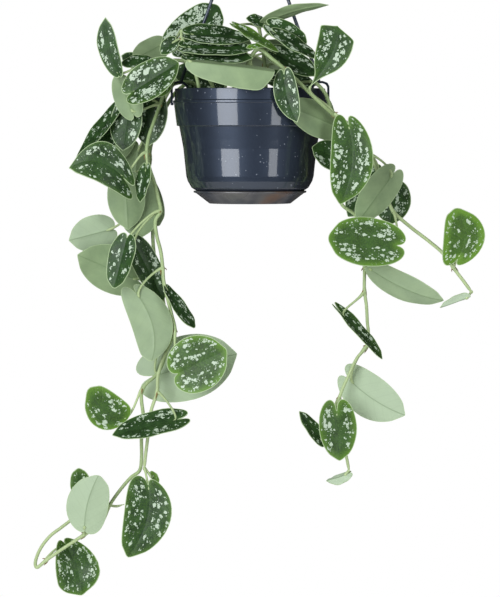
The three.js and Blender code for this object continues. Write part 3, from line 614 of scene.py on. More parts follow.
def turned(profile, steps):
    """Corners and faces of a profile of [radius, height] points turned about the pot's axis.
    The profile is closed, or starts and ends on the axis."""
    profile = [tuple(point) for point in profile]
    on_axis = profile[0][0] == 0
    turns = even_turns(steps)
    rings, corners = [], []
    for radius, height in profile if on_axis else profile[:-1]:
        around = turns if radius else turns[:1]
        rings.append(range(len(corners), len(corners) + len(around)))
        corners += [(radius * math.cos(turn), radius * math.sin(turn), height) for turn in around]
    pairs = list(zip(rings, rings[1:])) + ([] if on_axis else [(rings[-1], rings[0])])
    faces = []
    for lower, upper in pairs:
        for step in range(steps):
            after = (step + 1) % steps
            if len(lower) == 1:
                faces.append([lower[0], upper[after], upper[step]])
            elif len(upper) == 1:
                faces.append([lower[step], lower[after], upper[0]])
            else:
                faces.append([lower[step], lower[after], upper[after], upper[step]])
    return corners, faces


def apply_modifiers(piece):
    """Bakes the modifiers of a piece into its mesh."""
    bpy.context.view_layer.update()
    graph = bpy.context.evaluated_depsgraph_get()
    shaped = bpy.data.meshes.new_from_object(piece.evaluated_get(graph))
    piece.modifiers.clear()
    piece.data = shaped


# ---------------------------------------------------------------- leaves


def half_outline(leaf):
    """Half of a heart-shaped blade's outline: x from 0 at the petiole to 1 at the tip, y across it."""
    steps = BLADE_ROWS // 2
    belly = (leaf.wide, 0.5)
    lobe = bezier((0, 0), (-1.25 * leaf.lobe, 0.04), (-0.55 * leaf.lobe, 0.5), belly, steps)
    shoulder = (leaf.wide + 0.53 * (1 - leaf.wide), 0.5)
    beside_tip = (0.92 + 0.08 * leaf.blunt, 0.17 + 0.13 * leaf.blunt)
    taper = bezier(belly, shoulder, beside_tip, (1, 0), steps)
    outline = np.vstack([lobe, taper[1:]])
    outline[:, 1] *= 1 - 0.25 * smoothstep(0.86, 0.98, outline[:, 0])  # the tip is drawn out
    outline[0] = 0.1 * outline[1]
    outline[-1] = 0.97 * outline[-1] + 0.03 * outline[-2]
    return outline


def distance_to_outline(x, y, outline):
    """How far each point of the blade lies from its margin."""
    loop = np.vstack([outline, outline[::-1] * (1, -1)])
    start, span = loop[:-1], np.diff(loop, axis=0)
    points = np.stack([x, y], axis=-1)[..., None, :]
    share = ((points - start) * span).sum(-1) / np.maximum((span**2).sum(-1), 1e-9)
    nearest = start + np.clip(share, 0, 1)[..., None] * span
    return np.linalg.norm(points - nearest, axis=-1).min(-1)


def add_blade(body, leaf, seed, ripple):
    """A leaf's blade: two sides a blade's thickness apart, with the midrib sunk above and proud below."""
    draw = random.Random(seed)
    start, tip = np.array(leaf.base, float), np.array(leaf.tip, float)
    along = tip - start
    length = np.linalg.norm(along)
    forward = along / length
    up = square_to(forward, leaf.face)
    side = np.cross(up, forward)
    bow = np.array(leaf.bow, float)
    phases = [draw.uniform(0, 2 * math.pi) for _ in range(4)]

    def place(a, b):
        """The blade's middle surface: a along the midrib, b across it from -0.5 to 0.5."""
        turn = leaf.twist * a
        across = b * leaf.width
        sway = np.sin(7 * a + 5 * b + phases[0]) + 0.7 * np.sin(13 * a - 9 * b + phases[1])
        rise = leaf.fold * (np.sqrt(across**2 + 1) - 1) + ripple * np.abs(2 * b) ** 1.5 * sway
        point = start + along * a[..., None] + bow * (4 * a * (1 - a))[..., None]
        point = point + side * (across * np.cos(turn) - rise * np.sin(turn))[..., None]
        return point + up * (across * np.sin(turn) + rise * np.cos(turn))[..., None]

    outline = half_outline(leaf)
    shares = np.array(BLADE_COLUMNS)
    midrib = (np.arange(BLADE_ROWS + 1) / BLADE_ROWS) ** 1.3
    midrib[0], midrib[-1] = 0.4 * midrib[1], outline[-1, 0]
    a = midrib[:, None] * (1 - shares) + outline[:, :1] * shares
    b = outline[:, 1:] * shares
    a = np.hstack([a[:, :0:-1], a])
    b = np.hstack([-b[:, :0:-1], b])
    shares = np.hstack([shares[:0:-1], shares])

    step = 0.01
    lift = np.cross(place(a + step, b) - place(a - step, b), place(a, b + step) - place(a, b - step))
    lift /= np.linalg.norm(lift, axis=-1)[..., None]
    x, y = a * length, b * leaf.width
    margin = distance_to_outline(x, y, outline * (length, leaf.width))
    margin[:, [0, -1]] = 0
    margin[[0, -1], :] = 0

    half_thick = (MARGIN_THICK + (BLADE_THICK - MARGIN_THICK) * smoothstep(0, 2.5, margin)) / 2
    near_midrib = np.exp(-((y / MIDRIB_REACH) ** 2)) * smoothstep(1, 0.7, a)
    upper = place(a, b) + lift * (half_thick - MIDRIB_SUNK * near_midrib)[..., None]
    lower = place(a, b) - lift * (half_thick + MIDRIB_PROUD * near_midrib)[..., None]

    # Silver keeps clear of the midrib, the margin and the drawn-out tip.
    clear = min(0.12 * leaf.width, 4)
    splash = smoothstep(0.35 * clear, clear, np.abs(y)) * smoothstep(0.3, 1.8, margin)
    splash = splash * smoothstep(1, 0.85, a) * (1 + leaf.silver)
    vein = x - VEIN_LEAN * np.abs(y) - VEIN_CURL * y * y
    layer = np.full_like(a, 10 * draw.random() + 10 * seed)  # no two leaves share their pattern
    young = np.full_like(a, leaf.young)
    readings = np.stack([x, y, layer, vein, margin, splash, young], axis=-1).reshape(-1, READINGS)

    rows, columns = a.shape
    faces = []
    for row in range(rows - 1):
        for column in range(columns - 1):
            corner = row * columns + column
            faces.append([corner, corner + columns, corner + columns + 1, corner + 1])
    size = rows * columns
    under = [[index + size for index in face[::-1]] for face in faces]
    rim = [row * columns for row in range(rows)]
    rim += [(rows - 1) * columns + column for column in range(1, columns)]
    rim += [row * columns + columns - 1 for row in range(rows - 2, -1, -1)]
    rim += list(range(columns - 2, 0, -1))
    edge = [[first + size, second + size, second, first] for first, second in zip(rim, rim[1:] + rim[:1])]
    finishes = [LEAF_UPPER] * len(faces) + [LEAF_UNDER] * len(under) + [LEAF_UPPER] * len(edge)
    body.add(
        np.vstack([upper.reshape(-1, 3), lower.reshape(-1, 3)]), faces + under + edge, finishes,
        np.vstack([readings, readings]),
    )


def add_petiole(body, start, leaf, young):
    """A petiole clasps the stem, bends over and thickens again where it runs in under the blade."""
    base, tip = np.array(leaf.base, float), np.array(leaf.tip, float)
    forward = unit(tip - base + 4 * np.array(leaf.bow, float))
    up = square_to(forward, leaf.face)
    onward, below = PETIOLE_UNDER
    end = base + forward * onward - up * below
    reach = np.linalg.norm(end - start)
    leave = (end - start) / reach * 0.5 + np.array((0, 0, leaf.rise))
    steps = 20
    route = bezier(
        start, start + leave * 0.35 * reach, end - forward * 0.3 * reach - up * 0.08 * reach, end, steps
    )
    share = np.linspace(0, 1, steps + 1)
    joint = 0.3 * np.exp(-(((share - 0.9) * reach / 3) ** 2))
    clasp = 0.75 * smoothstep(0.4, 0, share)
    radii = PETIOLE_RADIUS + clasp + joint - 0.5 * smoothstep(0.93, 1, share)
    body.add_tube(route, radii, 10, STEM, young)


def add_joint(body, route, index, radius, draw):
    """The brown scale and the stub of a clinging root that a stem of this radius carries at a joint."""
    along = unit(route[min(index + 2, len(route) - 1)] - route[index])
    outward = unit(np.cross(along, [draw.uniform(-1, 1) for _ in range(3)]))
    start = route[index] + outward * (radius - 0.5)
    reach = draw.uniform(1.3, 2.7)
    stub = bezier(start, start + outward * reach * 0.6, start + (outward + 0.4 * along) * reach,
                  start + (outward + 0.9 * along) * reach, 5)
    body.add_tube(stub, np.linspace(0.75, 0.25, 6), 6, SHEATH)
    scale = route[index] - outward * (radius - 0.35)
    tip = scale + along * draw.uniform(4, 7) - outward * 0.7
    body.add_tube(np.linspace(scale - along, tip, 5), (0.5, 0.8, 0.7, 0.45, 0.15), 6, SHEATH)


def add_vine(body, vine, number, ripple):
    """A stem that thins from the soil to its tip and swells at its joints, with its leaves and shoots."""
    draw = random.Random(number)
    route = smooth_route(vine.stem, SPAN_STEPS)
    share = np.linspace(0, 1, len(route))
    travelled = np.hstack([0, np.cumsum(np.linalg.norm(np.diff(route, axis=0), axis=1))])
    radii = vine.radius * (1 - 0.18 * share)
    joints = sorted({leaf.at for leaf in vine.leaves if 1 < leaf.at < len(vine.stem) - 1})
    joints = [at * SPAN_STEPS for at in joints]
    for joint in joints:
        radii = radii + JOINT_SWELL * np.exp(-(((travelled - travelled[joint]) / JOINT_REACH) ** 2))
    blunt_end = 0.45 * smoothstep(travelled[-1] - 5, travelled[-1], travelled)
    radii = radii * (1 - blunt_end)
    body.add_tube(route, radii, 12, STEM, 0.4 + 0.5 * smoothstep(0.2, 1, share))
    for joint in joints:
        add_joint(body, route, joint, radii[joint], draw)
    for index, leaf in enumerate(vine.leaves):
        add_blade(body, leaf, 40 * number + index, ripple)
        add_petiole(body, route[leaf.at * SPAN_STEPS], leaf, 0.7 + 0.3 * leaf.young)
    for shoot in vine.shoots:
        route = smooth_route(shoot, SPAN_STEPS)
        radii = 1.3 - 0.9 * smoothstep(0.5, 1, np.linspace(0, 1, len(route)))
        body.add_tube(route, radii, 10, STEM, 1)


# ---------------------------------------------------------------- materials
#
# On a leaf, place is in millimetres along and across the blade, and elsewhere in metres below the hook.
# The scale of a pattern is one over its size.


def feed(tree, node, inputs):
    """Gives each socket of a node its value, or links it to the socket that feeds it."""
    for socket, value in inputs.items():
        if isinstance(value, bpy.types.NodeSocket):
            tree.links.new(value, node.inputs[socket])
        else:
            node.inputs[socket].default_value = value


def add_shader(tree, kind, inputs=None, **settings):
    """Adds one node with its settings and what feeds it."""
    made = tree.nodes.new("ShaderNode" + kind)
    for name, value in settings.items():
        setattr(made, name, value)
    feed(tree, made, inputs or {})
    return made


def new_material(name):
    """A material, its node tree and the Principled shader in it."""
    material = bpy.data.materials.new(name)
    material.use_nodes = True
    tree = material.node_tree
    shader = next(node for node in tree.nodes if node.type == "BSDF_PRINCIPLED")
    return material, tree, shader


def clouds(tree, place, size, detail, band, levels=(0, 1)):
    """Soft clouds of this size, in the units of place: noise whose band of values is spread from one level
    to the other, and cut off there."""
    noise_map = add_shader(tree, "TexNoise", {"Vector": place, "Scale": 1 / size, "Detail": detail})
    spread = {
        "Value": noise_map.outputs["Fac"], "From Min": band[0], "From Max": band[1],
        "To Min": levels[0], "To Max": levels[1],
    }
    return add_shader(tree, "MapRange", spread).outputs[0]


def grain(tree, size, detail):
    """Noise with grains of this size, in millimetres along x, y and z of the piece."""
    place = add_shader(tree, "TexCoord").outputs["Object"]
    scale = [1 / (side * MM) for side in size]
    scaled = add_shader(tree, "Mapping", {"Vector": place, "Scale": scale}).outputs[0]
    return add_shader(tree, "TexNoise", {"Vector": scaled, "Scale": 1, "Detail": detail}).outputs["Fac"]


def blotches(tree, place, allowed, cell, spread, crowding):
    """How silvered each place is: one ragged blot in each cell, as large as chance, crowding and allowed
    let it be. allowed is 0 where none may grow, 1 as a rule and up to 2 where they run together. cell is
    the cell's size along and across the blade, and spread the smallest and largest radius."""
    shrunk = add_shader(tree, "Mapping", {"Vector": place, "Scale": (1 / cell[0], 1 / cell[1], 1)})
    blot = add_shader(tree, "TexVoronoi", {"Vector": shrunk.outputs[0], "Scale": 1})
    chance = add_shader(tree, "SeparateColor", {0: blot.outputs["Color"]}).outputs[0]
    radius = {"Value": chance, "To Min": spread[0], "To Max": spread[1]}
    radius = add_shader(tree, "MapRange", radius).outputs[0]
    change = {"Value": allowed, "From Max": 2, "To Min": -0.9, "To Max": 0.9}
    change = add_shader(tree, "MapRange", change).outputs[0]
    for part in (crowding, change):
        radius = add_shader(tree, "Math", {0: radius, 1: part}, operation="ADD").outputs[0]
    depth = {0: radius, 1: blot.outputs["Distance"]}
    depth = add_shader(tree, "Math", depth, operation="SUBTRACT").outputs[0]
    return add_shader(tree, "MapRange", {"Value": depth, "From Min": -0.03, "From Max": 0.05}).outputs[0]


def side_veins(tree, vein_place, height):
    """Side veins as lines of this height on a flat ground."""
    turns = add_shader(tree, "Math", {0: vein_place, 1: VEIN_SPACING}, operation="DIVIDE").outputs[0]
    wave = add_shader(tree, "Math", {0: turns, 1: 1}, operation="PINGPONG").outputs[0]
    line = {"Value": wave, "From Max": 0.16, "To Min": height, "To Max": 0}
    return add_shader(tree, "MapRange", line).outputs[0]


def leaf_upper_material(look):
    """Upper side of a satin pothos leaf: waxy skin over dark cells, with splashes where air lies under the
    skin. The eye gets a soft sheen, crisp silver blotches and a thin pale edge."""
    material, tree, shader = new_material("satin_leaf_upper")
    place = add_shader(tree, "Attribute", attribute_name="blade_place").outputs["Vector"]
    vein_place, margin, allowed, young = (
        add_shader(tree, "Attribute", attribute_name=layer).outputs["Fac"] for layer in LAYERS
    )

    # Splashes a splash_size wide and half as long again, thick in some places and thin in others.
    rag = add_shader(tree, "TexNoise", {"Vector": place, "Scale": 1 / 2, "Detail": 2}).outputs["Color"]
    centred = add_shader(tree, "VectorMath", {0: rag, 1: (0.5, 0.5, 0.5)}, operation="SUBTRACT")
    spread = add_shader(tree, "VectorMath", {0: centred.outputs[0], "Scale": 2.6}, operation="SCALE")
    ragged = add_shader(tree, "VectorMath", {0: place, 1: spread.outputs[0]}, operation="ADD").outputs[0]
    crowding = clouds(tree, place, 9.09, 1, (0.35, 0.65), (-0.16, 0.16))
    wide = look.splash_size / MM
    splash = blotches(tree, ragged, allowed, (1.55 * wide, wide), (-0.45, 0.68), crowding)
    # Flecks of a millimetre or so between the splashes.
    fleck = blotches(tree, ragged, allowed, (2.2, 1.7), (-0.9, 0.4), crowding)
    silvered = add_shader(tree, "Math", {0: splash, 1: fleck}, operation="MAXIMUM").outputs[0]

    # Green, with drifts a centimetre across.
    drift = clouds(tree, place, 11.1, 3, (0.32, 0.68))
    green = {"Factor": drift, 6: look.leaf_dark[:], 7: look.leaf_green[:]}
    green = add_shader(tree, "Mix", green, data_type="RGBA").outputs[2]

    # New leaves are yellower from the margin inward, and every leaf is a little so beside its margin.
    inward = {"Value": margin, "From Min": 0.5, "From Max": 8, "To Min": 1.5, "To Max": 0.38}
    inward = add_shader(tree, "MapRange", inward).outputs[0]
    fresh = add_shader(tree, "Math", {0: young, 1: inward}, operation="MULTIPLY").outputs[0]
    beside = {"Value": margin, "From Min": 0.5, "From Max": 4, "To Min": 0.12, "To Max": 0}
    beside = add_shader(tree, "MapRange", beside).outputs[0]
    fresh = add_shader(tree, "Math", {0: fresh, 1: beside}, operation="ADD").outputs[0]
    mottle = clouds(tree, place, 1.43, 2, (0.35, 0.65), (-0.12, 0.12))
    fresh = add_shader(tree, "Math", {0: fresh, 1: mottle}, operation="ADD", use_clamp=True).outputs[0]
    toned = {"Factor": fresh, 6: green, 7: look.leaf_young[:]}
    toned = add_shader(tree, "Mix", toned, data_type="RGBA").outputs[2]

    splashed = {"Factor": silvered, 6: toned, 7: look.silver[:]}
    splashed = add_shader(tree, "Mix", splashed, data_type="RGBA").outputs[2]
    edge = look.margin_width / MM
    line = {"Value": margin, "From Min": 0.6 * edge, "From Max": edge, "To Min": 1, "To Max": 0}
    line = add_shader(tree, "MapRange", line).outputs[0]
    skin = {"Factor": line, 6: splashed, 7: look.margin[:]}
    skin = add_shader(tree, "Mix", skin, data_type="RGBA").outputs[2]

    # The skin is satin, a little smoother over the silver. Side veins are sunk, and the pebbles of the skin
    # are coarser than real ones so that they show.
    sheen = add_shader(tree, "MapRange", {"Value": silvered, "To Min": 0.44, "To Max": 0.36}).outputs[0]
    sunk = side_veins(tree, vein_place, -0.8)
    pebble = add_shader(tree, "TexNoise", {"Vector": place, "Scale": 1 / 1.25, "Detail": 2}).outputs["Fac"]
    relief = add_shader(tree, "Math", {0: sunk, 1: pebble}, operation="ADD").outputs[0]
    bump = add_shader(tree, "Bump", {"Height": relief, "Strength": 0.4, "Distance": 0.4 * MM}).outputs[0]
    feed(tree, shader, {"Base Color": skin, "Roughness": sheen, "IOR": 1.45, "Normal": bump})
    return material


def leaf_under_material(look):
    """Underside of a satin pothos leaf: pale, matte skin without the dark cells. The eye gets a soft
    grey-green with a finer, darker midrib and hardly any side veins, and a new leaf is nearly white."""
    material, tree, shader = new_material("satin_leaf_under")
    place = add_shader(tree, "Attribute", attribute_name="blade_place").outputs["Vector"]
    vein_place, margin, young = (
        add_shader(tree, "Attribute", attribute_name=layer).outputs["Fac"]
        for layer in ("vein", "margin", "young")
    )

    drift = clouds(tree, place, 16.7, 3, (0.3, 0.7))
    grown = {"Factor": drift, 6: look.underside[:], 7: look.underside_shade[:]}
    grown = add_shader(tree, "Mix", grown, data_type="RGBA").outputs[2]
    fresh = add_shader(tree, "Math", {0: young, 1: 1.5}, operation="MULTIPLY", use_clamp=True).outputs[0]
    toned = {"Factor": fresh, 6: grown, 7: look.underside_young[:]}
    toned = add_shader(tree, "Mix", toned, data_type="RGBA").outputs[2]

    across = add_shader(tree, "SeparateXYZ", {0: place}).outputs[1]
    across = add_shader(tree, "Math", {0: across}, operation="ABSOLUTE").outputs[0]
    midrib = {"Value": across, "From Min": 0.3, "From Max": 0.7, "To Min": 0.45, "To Max": 0}
    midrib = add_shader(tree, "MapRange", midrib).outputs[0]
    lines = {0: side_veins(tree, vein_place, 0.08), 1: midrib}
    lines = add_shader(tree, "Math", lines, operation="MAXIMUM").outputs[0]
    veined = {"Factor": lines, 6: toned, 7: look.midrib[:]}
    veined = add_shader(tree, "Mix", veined, data_type="RGBA").outputs[2]
    edge = {"Value": margin, "From Min": 0.3, "From Max": 0.8, "To Min": 0.7, "To Max": 0}
    edge = add_shader(tree, "MapRange", edge).outputs[0]
    skin = {"Factor": edge, 6: veined, 7: look.margin[:]}
    skin = add_shader(tree, "Mix", skin, data_type="RGBA").outputs[2]

    # Pebbles, coarser than real ones so that they show.
    pebble = add_shader(tree, "TexNoise", {"Vector": place, "Scale": 1 / 1.11, "Detail": 2}).outputs["Fac"]
    relief = add_shader(tree, "Math", {0: lines, 1: pebble}, operation="ADD").outputs[0]
    bump = add_shader(tree, "Bump", {"Height": relief, "Strength": 0.25, "Distance": 0.4 * MM}).outputs[0]
    feed(tree, shader, {"Base Color": skin, "Roughness": 0.5, "IOR": 1.45, "Normal": bump})
    return material


def stem_material(look):
    """Fleshy green stem and petiole: smooth, lightly ribbed skin that darkens with age."""
    material, tree, shader = new_material("fleshy_stem")
    young = add_shader(tree, "Attribute", attribute_name="young").outputs["Fac"]
    # Ribs and streaks, coarser than real ones so that they show.
    streak = grain(tree, (1.11, 1.11, 6.25), 3)
    age = add_shader(tree, "Math", {0: streak, 1: 0.7, 2: -0.35}, operation="MULTIPLY_ADD").outputs[0]
    age = add_shader(tree, "Math", {0: age, 1: young}, operation="ADD", use_clamp=True).outputs[0]
    skin = {"Factor": age, 6: look.stalk_old[:], 7: look.stalk[:]}
    skin = add_shader(tree, "Mix", skin, data_type="RGBA").outputs[2]
    bump = add_shader(tree, "Bump", {"Height": streak, "Strength": 0.3, "Distance": 0.4 * MM}).outputs[0]
    feed(tree, shader, {"Base Color": skin, "Roughness": 0.42, "IOR": 1.42, "Normal": bump})
    return material


def sheath_material(look):
    """Dry brown scales and root stubs: papery, matte and fibrous."""
    material, tree, shader = new_material("dry_sheath")
    # Fibres, coarser than real ones so that they show.
    fibre = grain(tree, (0.714, 0.714, 3.33), 3)
    skin = {"Factor": fibre, 6: look.sheath_shade[:], 7: look.sheath[:]}
    skin = add_shader(tree, "Mix", skin, data_type="RGBA").outputs[2]
    bump = add_shader(tree, "Bump", {"Height": fibre, "Strength": 0.5, "Distance": 0.5 * MM}).outputs[0]
    feed(tree, shader, {"Base Color": skin, "Roughness": 0.8, "IOR": 1.5, "Normal": bump})
    return material


def pot_material(look):
    """Anthracite polypropylene, injection moulded in a polished tool. The eye gets sharp, slightly wavy
    reflections in a blue glow that the pigment under the skin spreads, and dust and dried drops."""
    material, tree, shader = new_material("moulded_polypropylene")
    place = add_shader(tree, "TexCoord").outputs["Object"]
    drift = clouds(tree, place, 45.5 * MM, 3, (0.35, 0.7))
    pigment = {"Factor": drift, 6: look.plastic[:], 7: look.plastic_shade[:]}
    pigment = add_shader(tree, "Mix", pigment, data_type="RGBA").outputs[2]

    # Some cells of a 3.4 mm pattern hold a drop, and some stretches of the pot have fewer.
    drops = add_shader(tree, "TexVoronoi", {"Vector": place, "Scale": 1 / (3.4 * MM)})
    chosen = add_shader(tree, "SeparateColor", {0: drops.outputs["Color"]}).outputs[0]
    size = {"Value": chosen, "From Min": 0.25, "To Min": -0.05, "To Max": 0.22}
    size = add_shader(tree, "MapRange", size).outputs[0]
    where = clouds(tree, place, 71.4 * MM, 1, (0.38, 0.58), (-0.12, 0))
    size = add_shader(tree, "Math", {0: size, 1: where}, operation="ADD").outputs[0]
    speck = {0: size, 1: drops.outputs["Distance"]}
    speck = add_shader(tree, "Math", speck, operation="SUBTRACT").outputs[0]
    speck = add_shader(tree, "MapRange", {"Value": speck, "From Min": -0.02, "From Max": 0.03}).outputs[0]
    dusty = add_shader(tree, "Math", {0: speck, 1: 0.6}, operation="MULTIPLY").outputs[0]
    skin = {"Factor": dusty, 6: pigment, 7: look.dust[:]}
    skin = add_shader(tree, "Mix", skin, data_type="RGBA").outputs[2]

    film = clouds(tree, place, 16.7 * MM, 4, (0, 1), (0.42, 0.5))
    dull = add_shader(tree, "MapRange", {"Value": speck, "To Max": 0.5}).outputs[0]
    rough = add_shader(tree, "Math", {0: film, 1: dull}, operation="ADD").outputs[0]
    peel = {"Vector": place, "Scale": 1 / (9 * MM), "Detail": 1}
    peel = add_shader(tree, "TexNoise", peel).outputs["Fac"]
    bump = add_shader(tree, "Bump", {"Height": peel, "Strength": 0.06, "Distance": 0.6 * MM}).outputs[0]
    feed(tree, shader, {
        "Base Color": skin, "Roughness": rough, "IOR": 1.5, "Normal": bump,
        "Specular IOR Level": 1, "Specular Tint": look.glow[:],
        "Coat Weight": 1, "Coat IOR": 1.6, "Coat Roughness": 0.07, "Coat Normal": bump,
    })
    return material


def tray_material(look):
    """The tray's thin, smoky polypropylene, which lets some light through. The eye gets a paler, greyer
    tone than the pot's, clouded with dried tap water, and a rust-brown tide mark where the pot drips."""
    material, tree, shader = new_material("smoky_polypropylene")
    place = add_shader(tree, "TexCoord").outputs["Object"]
    cloud = {"Vector": place, "Scale": 1 / (22.2 * MM), "Detail": 4}
    cloud = add_shader(tree, "TexNoise", cloud).outputs["Fac"]
    thin = add_shader(tree, "MapRange", {"Value": cloud, "From Min": 0.35, "From Max": 0.7}).outputs[0]
    smoke = {"Factor": thin, 6: look.smoke[:], 7: look.plastic[:]}
    smoke = add_shader(tree, "Mix", smoke, data_type="RGBA").outputs[2]
    chalk = clouds(tree, place, 38.5 * MM, 3, (0.48, 0.68), (0, 0.6))
    clouded = {"Factor": chalk, 6: smoke, 7: look.chalk[:]}
    clouded = add_shader(tree, "Mix", clouded, data_type="RGBA").outputs[2]
    apart = {0: place, 1: in_row_frame(TIDE_MARK)[:]}
    apart = add_shader(tree, "VectorMath", apart, operation="DISTANCE").outputs["Value"]
    apart = add_shader(tree, "Math", {0: cloud, 1: 0.05, 2: apart}, operation="MULTIPLY_ADD").outputs[0]
    mark = {"Value": apart, "From Min": 30 * MM, "From Max": 44 * MM, "To Min": 0.6, "To Max": 0}
    mark = add_shader(tree, "MapRange", mark).outputs[0]
    skin = {"Factor": mark, 6: clouded, 7: look.tide_mark[:]}
    skin = add_shader(tree, "Mix", skin, data_type="RGBA").outputs[2]
    film = {"Value": cloud, "From Min": 0.3, "From Max": 0.7, "To Min": 0.2, "To Max": 0.4}
    film = add_shader(tree, "MapRange", film).outputs[0]
    bump = add_shader(tree, "Bump", {"Height": cloud, "Strength": 0.1, "Distance": 0.5 * MM}).outputs[0]
    feed(tree, shader, {"Base Color": skin, "Roughness": film, "IOR": 1.5, "Normal": bump})
    return material


def soil_material(look):
    """Moist peat: dark, matte fibre and crumb with damp, darker hollows."""
    material, tree, shader = new_material("moist_peat")
    crumb = grain(tree, (2.38, 2.38, 2.38), 6)
    tone = add_shader(tree, "MapRange", {"Value": crumb, "From Min": 0.35, "From Max": 0.7}).outputs[0]
    skin = {"Factor": tone, 6: look.peat_hollow[:], 7: look.peat[:]}
    skin = add_shader(tree, "Mix", skin, data_type="RGBA").outputs[2]
    bump = add_shader(tree, "Bump", {"Height": crumb, "Strength": 1, "Distance": 1.5 * MM}).outputs[0]
    feed(tree, shader, {"Base Color": skin, "Roughness": 0.95, "Normal": bump})
    return material


def perlite_material(look):
    """Perlite: blown volcanic glass, chalky white and pitted, with painted shade greying its pits."""
    material, tree, shader = new_material("perlite")
    # Pits, coarser than real ones so that they show. The grey in them is painted shade, darkest where the
    # bump is lowest.
    pits = grain(tree, (1.11, 1.11, 1.11), 3)
    skin = {"Factor": pits, 6: look.perlite_pit_shade[:], 7: look.perlite[:]}
    skin = add_shader(tree, "Mix", skin, data_type="RGBA").outputs[2]
    bump = add_shader(tree, "Bump", {"Height": pits, "Strength": 0.6, "Distance": 0.5 * MM}).outputs[0]
    feed(tree, shader, {"Base Color": skin, "Roughness": 0.9, "Normal": bump})
    return material


def floor_material(stage):
    """Matte off-white floor paint, rolled on, with slow drifts of tone."""
    material, tree, shader = new_material("painted_floor")
    tone = grain(tree, (333, 333, 333), 2)
    skin = {"Factor": tone, 6: stage.floor_shade[:], 7: stage.floor_paint[:]}
    skin = add_shader(tree, "Mix", skin, data_type="RGBA").outputs[2]
    feed(tree, shader, {"Base Color": skin, "Roughness": 0.8})
    return material


LEAFY_MATERIALS = {
    "satin_leaf_upper": leaf_upper_material,
    "satin_leaf_under": leaf_under_material,
    "fleshy_stem": stem_material,
    "dry_sheath": sheath_material,
}  # in the order of LEAF_UPPER, LEAF_UNDER, STEM and SHEATH


# ---------------------------------------------------------------- pieces


class POTHOS_OT_pot(bpy.types.Operator):
    """Turn the moulded pot with its rim, bead, skirt and drain holes"""

    bl_idname = "pothos.pot"
    bl_label = "Hanging Pot"

    def execute(self, context):
        look = context.scene.pothos_pot
        floor = -POT_DEPTH
        outside = [
            (STUD_RADIUS + FIT, floor), (FLOOR_RADIUS, floor), (58.4, -98.6), (62.2, -92), (63.6, -87),
            (66.4, -60), (68, -51), (RIM_RADIUS - 4.4, -SKIRT_DEPTH - 0.4), (RIM_RADIUS - 2, -SKIRT_DEPTH),
            (RIM_RADIUS + 0.9, BEAD_FOOT - 0.1), (BEAD_RADIUS, BEAD_FOOT), (BEAD_RADIUS, BEAD_TOP),
            (RIM_RADIUS + 0.2, BEAD_TOP + 0.6), (RIM_RADIUS, -0.5), (RIM_RADIUS - 0.4, 0),
        ]
        inside = [
            (RIM_RADIUS - WALL, 0), (RIM_RADIUS - WALL, BEAD_TOP),
            (RIM_RADIUS - 3.8, 1.6 * WALL - SKIRT_DEPTH), (68.6, -SKIRT_DEPTH - 0.6), (65.6, -51),
            (61.2, -86), (58.6, -93), (FLOOR_RADIUS - WALL, floor + WALL),
            (STUD_RADIUS + FIT, floor + WALL), (STUD_RADIUS + FIT, floor),
        ]
        body = Body()
        body.add(*turned(eased(outside + inside, 0.45), look.round_steps))
        piece = body.piece("hanging_pot", "pot_plastic", "pot", [pot_material(look)], sharp=35)
        self.drill(piece, floor)
        return {"FINISHED"}

    def drill(self, piece, floor):
        """Cuts the drain holes, with a rod through the floor for each."""
        drills = Body()
        for turn in even_turns(DRAINS) + math.pi / DRAINS:
            centre = np.array((DRAIN_CIRCLE * math.cos(turn), DRAIN_CIRCLE * math.sin(turn), floor))
            drills.add_tube([centre - (0, 0, 2), centre + (0, 0, 5)], DRAIN_RADIUS, 24)
        cutter = bpy.data.objects.new("drills", drills.mesh("drills"))
        bpy.context.scene.collection.objects.link(cutter)
        cut = piece.modifiers.new("drain_holes", "BOOLEAN")
        cut.object = cutter
        cut.operation = "DIFFERENCE"
        apply_modifiers(piece)
        bpy.data.objects.remove(cutter)


class POTHOS_OT_tray(bpy.types.Operator):
    """Turn the drip tray and the stud that holds it"""

    bl_idname = "pothos.tray"
    bl_label = "Drip Tray"

    def execute(self, context):
        look = context.scene.pothos_pot
        top = -POT_DEPTH - FIT
        foot = top - TRAY_DEPTH
        stud = -POT_DEPTH + WALL + FIT
        profile = [
            (0, foot), (TRAY_FOOT_RADIUS - 1, foot), (TRAY_FOOT_RADIUS, foot + 0.8),
            (TRAY_TOP_RADIUS - 2.6, top - 2.4), (TRAY_TOP_RADIUS, top - 1.6), (TRAY_TOP_RADIUS, top),
            (TRAY_TOP_RADIUS - 4.4, top), (TRAY_FOOT_RADIUS - 2, foot + WALL),
            (2 * STUD_RADIUS, foot + WALL), (2 * STUD_RADIUS, top), (STUD_RADIUS, top),
            (STUD_RADIUS, stud), (STUD_RADIUS + 1, stud + 0.4), (STUD_RADIUS - 0.8, stud + 3),
            (0, stud + 3),
        ]
        body = Body()
        body.add(*turned(eased(profile, 0.4), look.round_steps))
        body.piece("clip_on_tray", "tray_plastic", "drip_tray", [tray_material(look)], sharp=35)
        return {"FINISHED"}


